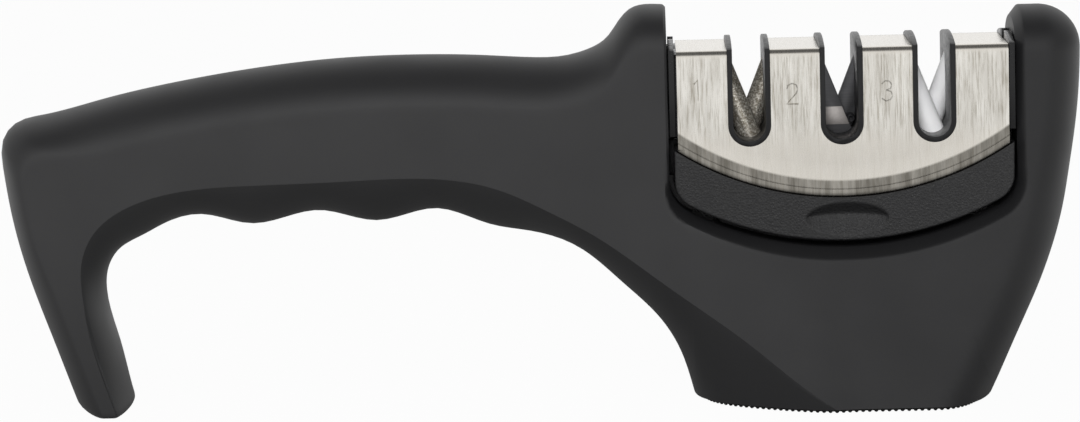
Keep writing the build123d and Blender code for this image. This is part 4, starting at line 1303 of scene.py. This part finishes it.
# distance above the lower edge, and how far out the sheet stands there
joggle = [
    (3.1, 0.0), (2.95, 0.01), (2.8, 0.05), (2.2, 0.25), (1.62, 0.46), (1.52, 0.48), (1.47, 0.38), (1.38, 0.38),
    (1.33, 0.48), (1.25, 0.51), (0.7, 0.53), (0.16, 0.53), (0.05, 0.49), (0.0, 0.42),
]
top = [(y, cover_top) for y in np.linspace(0, cover_half - fold, 5)]
top += [
    (cover_half - fold + fold * math.sin(t), cover_top - fold + fold * math.cos(t))
    for t in np.linspace(0, math.pi / 2, 9)[1:]
]
strip = Skin()
cover_columns = []
for x in np.linspace(cover_left, cover_right, 150):
    start = float(lip_z(x, joggle[0][0]))
    flat = [(cover_half, z) for z in np.linspace(cover_top - fold, start, 8)[1:-1]]
    edge = [(cover_half + out, float(lip_z(x, rise))) for rise, out in joggle]
    cover_columns.append([(x, y, z) for y, z in top + flat + edge])
strip.add(cover_columns)
steel_cover = mesh_piece("folded_cover", strip.points, strip.faces, 30, opening=-1)
modify(steel_cover, "SOLIDIFY", thickness=0.4 * MM, offset=-1)
print("sheet faces:", len(steel_cover.data.polygons))

# %% [markdown]
# ## Numbers and slots
# A graver leaves a round-bottomed groove, so each stroke is a poly curve with a round bevel, sunk into the
# front face. The strokes cross each other, so this cut needs the Boolean's Self option. The three U-shaped
# slots are cut afterwards with plain blocks, as a press would.

# %% Build the steel cover
slots = (40.5, 58.1, 75.7)
slot_half, slot_foot = 4.1, 49.95
digit_size, graver_radius = 3.9, 0.16
digit_centres = ((30.7, 61.0), (48.7, 59.9), (66.7, 60.0))
digit_strokes = (
    [[(-0.17, 0.3), (0.03, 0.5), (0.03, -0.5)]],
    [[(-0.26, 0.24), (-0.2, 0.41), (0.0, 0.5), (0.2, 0.42), (0.27, 0.22), (0.2, 0.02), (-0.28, -0.5), (0.3, -0.5)]],
    [
        [(-0.25, 0.34), (-0.08, 0.49), (0.12, 0.46), (0.23, 0.3), (0.17, 0.11), (-0.04, 0.03)],
        [(-0.04, 0.03), (0.19, -0.04), (0.27, -0.24), (0.16, -0.44), (-0.06, -0.5), (-0.27, -0.36)],
    ],
)
slot_cutters = []
for x in slots:
    turn = np.linspace(math.pi, 2 * math.pi, 49)
    outline = [(x + slot_half * math.cos(t), slot_foot + slot_half + slot_half * math.sin(t)) for t in turn]
    outline += [(x + slot_half, 80.0), (x - slot_half, 80.0)]
    slot_cutters.append(prism("slot_cutter", outline, -20, 20, 0))

graver = bpy.data.curves.new("graver", "CURVE")
graver.dimensions = "3D"
graver.bevel_depth = graver_radius * MM
graver.bevel_resolution = 1
graver.use_fill_caps = True
for (x, z), strokes in zip(digit_centres, digit_strokes):
    for stroke in strokes:
        line = graver.splines.new("POLY")
        line.points.add(len(stroke) - 1)
        for point, (u, v) in zip(line.points, stroke):
            point.co = ((x + u * digit_size) * MM, -(cover_half + 0.06) * MM, (z + v * digit_size) * MM, 1)
graver_path = new_piece("graver_path", graver)
bpy.context.view_layer.update()
seen = graver_path.evaluated_get(bpy.context.evaluated_depsgraph_get())
engraving = new_piece("engraving", bpy.data.meshes.new_from_object(seen))
bpy.data.objects.remove(graver_path)
cut(steel_cover, [engraving], crossing_itself=True)
cut(steel_cover, slot_cutters)
soften(steel_cover, 30)

# %% [markdown]
# ## Small parts in the middle slot
# The front blade has a ground flat near its root, and a pin with a domed rim holds the two blades where they
# cross. The flat is brighter than the rest of the blade, and that pale tone is painted reflection. It is a thin
# plate on the blade's face, with one side along the blade's leaning edge. The pin is turned from a profile and
# laid along Y, and it fills the blades' hole.

# %% Ground flat and pin
flat_root, flat_low, flat_high = 55.15, 52.6, 56.1
blade_face, flat_thickness, flat_margin = -2.2, 0.16, 0.12
pin_x, pin_z, cutting_z = 60.3, 53.7, 57.8


def blade_edge(z):
    """Where the front blade's cutting edge is at height z; the blades cross in the slot's middle."""
    return slots[1] - math.tan(blade_lean) * (z - cutting_z)


flat_outline = [(flat_root, flat_low)]
flat_outline += [(blade_edge(z) - flat_margin, z) for z in (flat_low, flat_high)]
flat_outline += [(flat_root, flat_high)]
ground_flat = prism("ground_flat", flat_outline, blade_face - flat_thickness, blade_face, 0.06, 2)
pin_profile = [
    (0.02, -2.15), (0.84, -2.15), (0.84, 2.05), (0.78, 2.22), (0.62, 2.32), (0.45, 2.28), (0.34, 2.1), (0.02, 2.05),
]
pin = turned("pin", pin_profile, 0, 0, 24)
pin.data.transform(Matrix.Translation((pin_x * MM, 0, pin_z * MM)) @ Matrix.Rotation(math.pi / 2, 4, "X"))
soften(pin, 50)
print("pin from y =", round(min(v.co.y for v in pin.data.vertices) / MM, 2))

# %% [markdown]
# ## Finishes on pieces
# Each new piece gets its material, hides the CAD node it stands for, and rides on its body, so that it moves
# with the joint. The other CAD nodes keep their mesh and only get their material.

# %% Dress every piece
fitted_out = [
    (housing_shell, "housing_shell", "housing", "soft_touch_black", soft_touch),
    (handle_underside, "handle_underside", "housing", "soft_touch_black", soft_touch),
    (sole, "non_slip_sole", "housing", "sole_rubber", rubber),
    (crescent, "cartridge_base", "cartridge", "textured_black", spark_texture),
    (steel_cover, "steel_cover", "cartridge", "brushed_steel", brushed_steel),
    (pin, "blade_pin", "cartridge", "screw_steel", blackened),
    (ground_flat, None, "cartridge", "tungsten_carbide", ground_carbide_painted_reflection),
    (front_core, "core_front", "cartridge", "cartridge_black", core_plastic),
    (rear_core, "core_rear", "cartridge", "cartridge_black", core_plastic),
    (front_blade, "carbide_blade_front", "cartridge", "tungsten_carbide", carbide),
    (rear_blade, "carbide_blade_rear", "cartridge", "tungsten_carbide", carbide),
]
fitted_out += [
    (liner, f"slot_guide_{i}", "cartridge", "slot_liner_black", liner_plastic) for i, liner in enumerate(liners, 1)
]
for piece, node, body, slot, finish in fitted_out:
    piece.data.materials.clear()
    piece.data.materials.append(finish)
    if node:
        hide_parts(node)
    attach(piece, body)

kept = {
    "base_plate": plate_plastic, "rod_retainer": plate_plastic, "base_screws": zinc, "cartridge_screws": zinc,
    "diamond_rod_front": diamond_grit, "diamond_rod_rear": diamond_grit,
    "ceramic_rod_front": ceramic, "ceramic_rod_rear": ceramic,
}
for name, finish in kept.items():
    for place in nodes[name].material_slots:
        place.material = finish
print("new pieces:", len(fitted_out), "CAD nodes kept:", len(kept))

# %% [markdown]
# ## Light
# Matt surfaces get an even light from the world and two soft boxes. Glossy and metal surfaces don't see the
# lamps: they mirror a white room, whose dark ceiling draws the line along the steel's fold and whose sides
# are a little darker. One world shader can do both, because it knows which kind of ray asks.

# %% World
world = bpy.data.worlds.new("studio")
bpy.context.scene.world = world
world.use_nodes = True
tree = world.node_tree
tree.nodes.clear()
white = (1.0, 1.0, 1.0, 1.0)
ray = add(tree, "ShaderNodeLightPath").outputs
direction = add(tree, "ShaderNodeSeparateXYZ", {0: add(tree, "ShaderNodeTexCoord").outputs["Generated"]}).outputs
ceiling = add(tree, "ShaderNodeMapRange", {
    "Value": direction["Z"], "From Min": 0.62, "From Max": 0.93, "To Min": 1.0, "To Max": 0.13,
}, interpolation_type="SMOOTHSTEP")
side_walls = add(tree, "ShaderNodeMapRange", {
    "Value": add(tree, "ShaderNodeMath", {0: direction["X"]}, operation="ABSOLUTE"),
    "From Min": 0.25, "From Max": 0.8, "To Min": 1.0, "To Max": 0.45,
}, interpolation_type="SMOOTHSTEP")
mirrored_light = add(tree, "ShaderNodeMath", {0: ceiling, 1: side_walls}, operation="MULTIPLY")
room, mirrored, backdrop = (
    add(tree, "ShaderNodeBackground", {"Color": white, "Strength": light}) for light in (0.16, mirrored_light, 1.0)
)
see_through = add(tree, "ShaderNodeMath", {0: ray["Is Glossy Ray"], 1: ray["Is Transmission Ray"]}, operation="MAXIMUM")
for_gloss = add(tree, "ShaderNodeMixShader", {0: see_through, 1: room, 2: mirrored})
for_all = add(tree, "ShaderNodeMixShader", {0: ray["Is Camera Ray"], 1: for_gloss, 2: backdrop})
add(tree, "ShaderNodeOutputWorld", {"Surface": for_all})
print("world nodes:", len(tree.nodes))

# %% [markdown]
# ## Lamps
# Two square area lamps stand in for soft boxes: a low one in front and a weaker one above it to the left.
# They are hidden from glossy rays, because their image in the flat steel would be a burnt-out patch.

# %% Lamps


def soft_box(name, spot, size, power):
    """A square lamp at spot, aimed at the middle of the object."""
    light = bpy.data.lights.new(name, "AREA")
    light.size = size
    light.energy = power
    lamp = new_piece(name, light)
    lamp.location = spot
    lamp.rotation_euler = (camera_aim - lamp.location).to_track_quat("-Z", "Y").to_euler()
    lamp.visible_glossy = False
    return lamp


lamps = [
    soft_box("front_soft_box", Vector((0.05, -1.1, 0.45)), 0.45, 10.5),
    soft_box("upper_soft_box", Vector((-0.3, -0.7, 0.95)), 0.6, 6),
]
print("lamps:", [lamp.name for lamp in lamps])

# %% [markdown]
# ## Floor
# The floor is pale paper that the camera sees as an even white, with the lamps' soft shadow kept faint. To
# glossy rays it is white far away and dark near the object, so that the black coat stays black at its foot.

# %% Floor
floor_material = bpy.data.materials.new("white_paper_floor")
floor_material.use_nodes = True
tree = floor_material.node_tree
ray = add(tree, "ShaderNodeLightPath").outputs
paper = tree.nodes["Principled BSDF"]
fill(tree, paper, {"Base Color": linear("#888888"), "Roughness": 0.9})
glow = add(tree, "ShaderNodeEmission", {"Color": white, "Strength": 1.0})
seen_by = add(tree, "ShaderNodeMath", {0: ray["Is Camera Ray"], 1: ray["Is Glossy Ray"]}, operation="MAXIMUM")
seen_by = add(tree, "ShaderNodeMath", {0: seen_by, 1: ray["Is Transmission Ray"]}, operation="MAXIMUM")
away = add(tree, "ShaderNodeVectorMath", {0: add(tree, "ShaderNodeTexCoord").outputs["Object"]}, operation="LENGTH")
far = add(tree, "ShaderNodeMapRange", {
    "Value": away, "From Min": 60 * MM, "From Max": 380 * MM, "To Min": 0.1, "To Max": 1.0,
})
brightness = add(tree, "ShaderNodeMath", {0: far, 1: ray["Is Camera Ray"]}, operation="MAXIMUM")
lit = add(tree, "ShaderNodeMath", {0: seen_by, 1: brightness}, operation="MULTIPLY")
lit = add(tree, "ShaderNodeMath", {0: lit, 1: 0.97}, operation="MULTIPLY")
whitened = add(tree, "ShaderNodeMixShader", {0: lit, 1: paper, 2: glow})
fill(tree, tree.nodes["Material Output"], {"Surface": whitened})
half, floor_z = 3.0, -0.1 * MM
corners = [(x * half, y * half, floor_z) for x, y in ((-1, -1), (1, -1), (1, 1), (-1, 1))]
floor_mesh = bpy.data.meshes.new("floor")
floor_mesh.from_pydata(corners, [], [(0, 1, 2, 3)])
floor_mesh.materials.append(floor_material)
new_piece("floor", floor_mesh)
bpy.context.scene.view_settings.view_transform = "Standard"
print("floor at z =", floor_z)
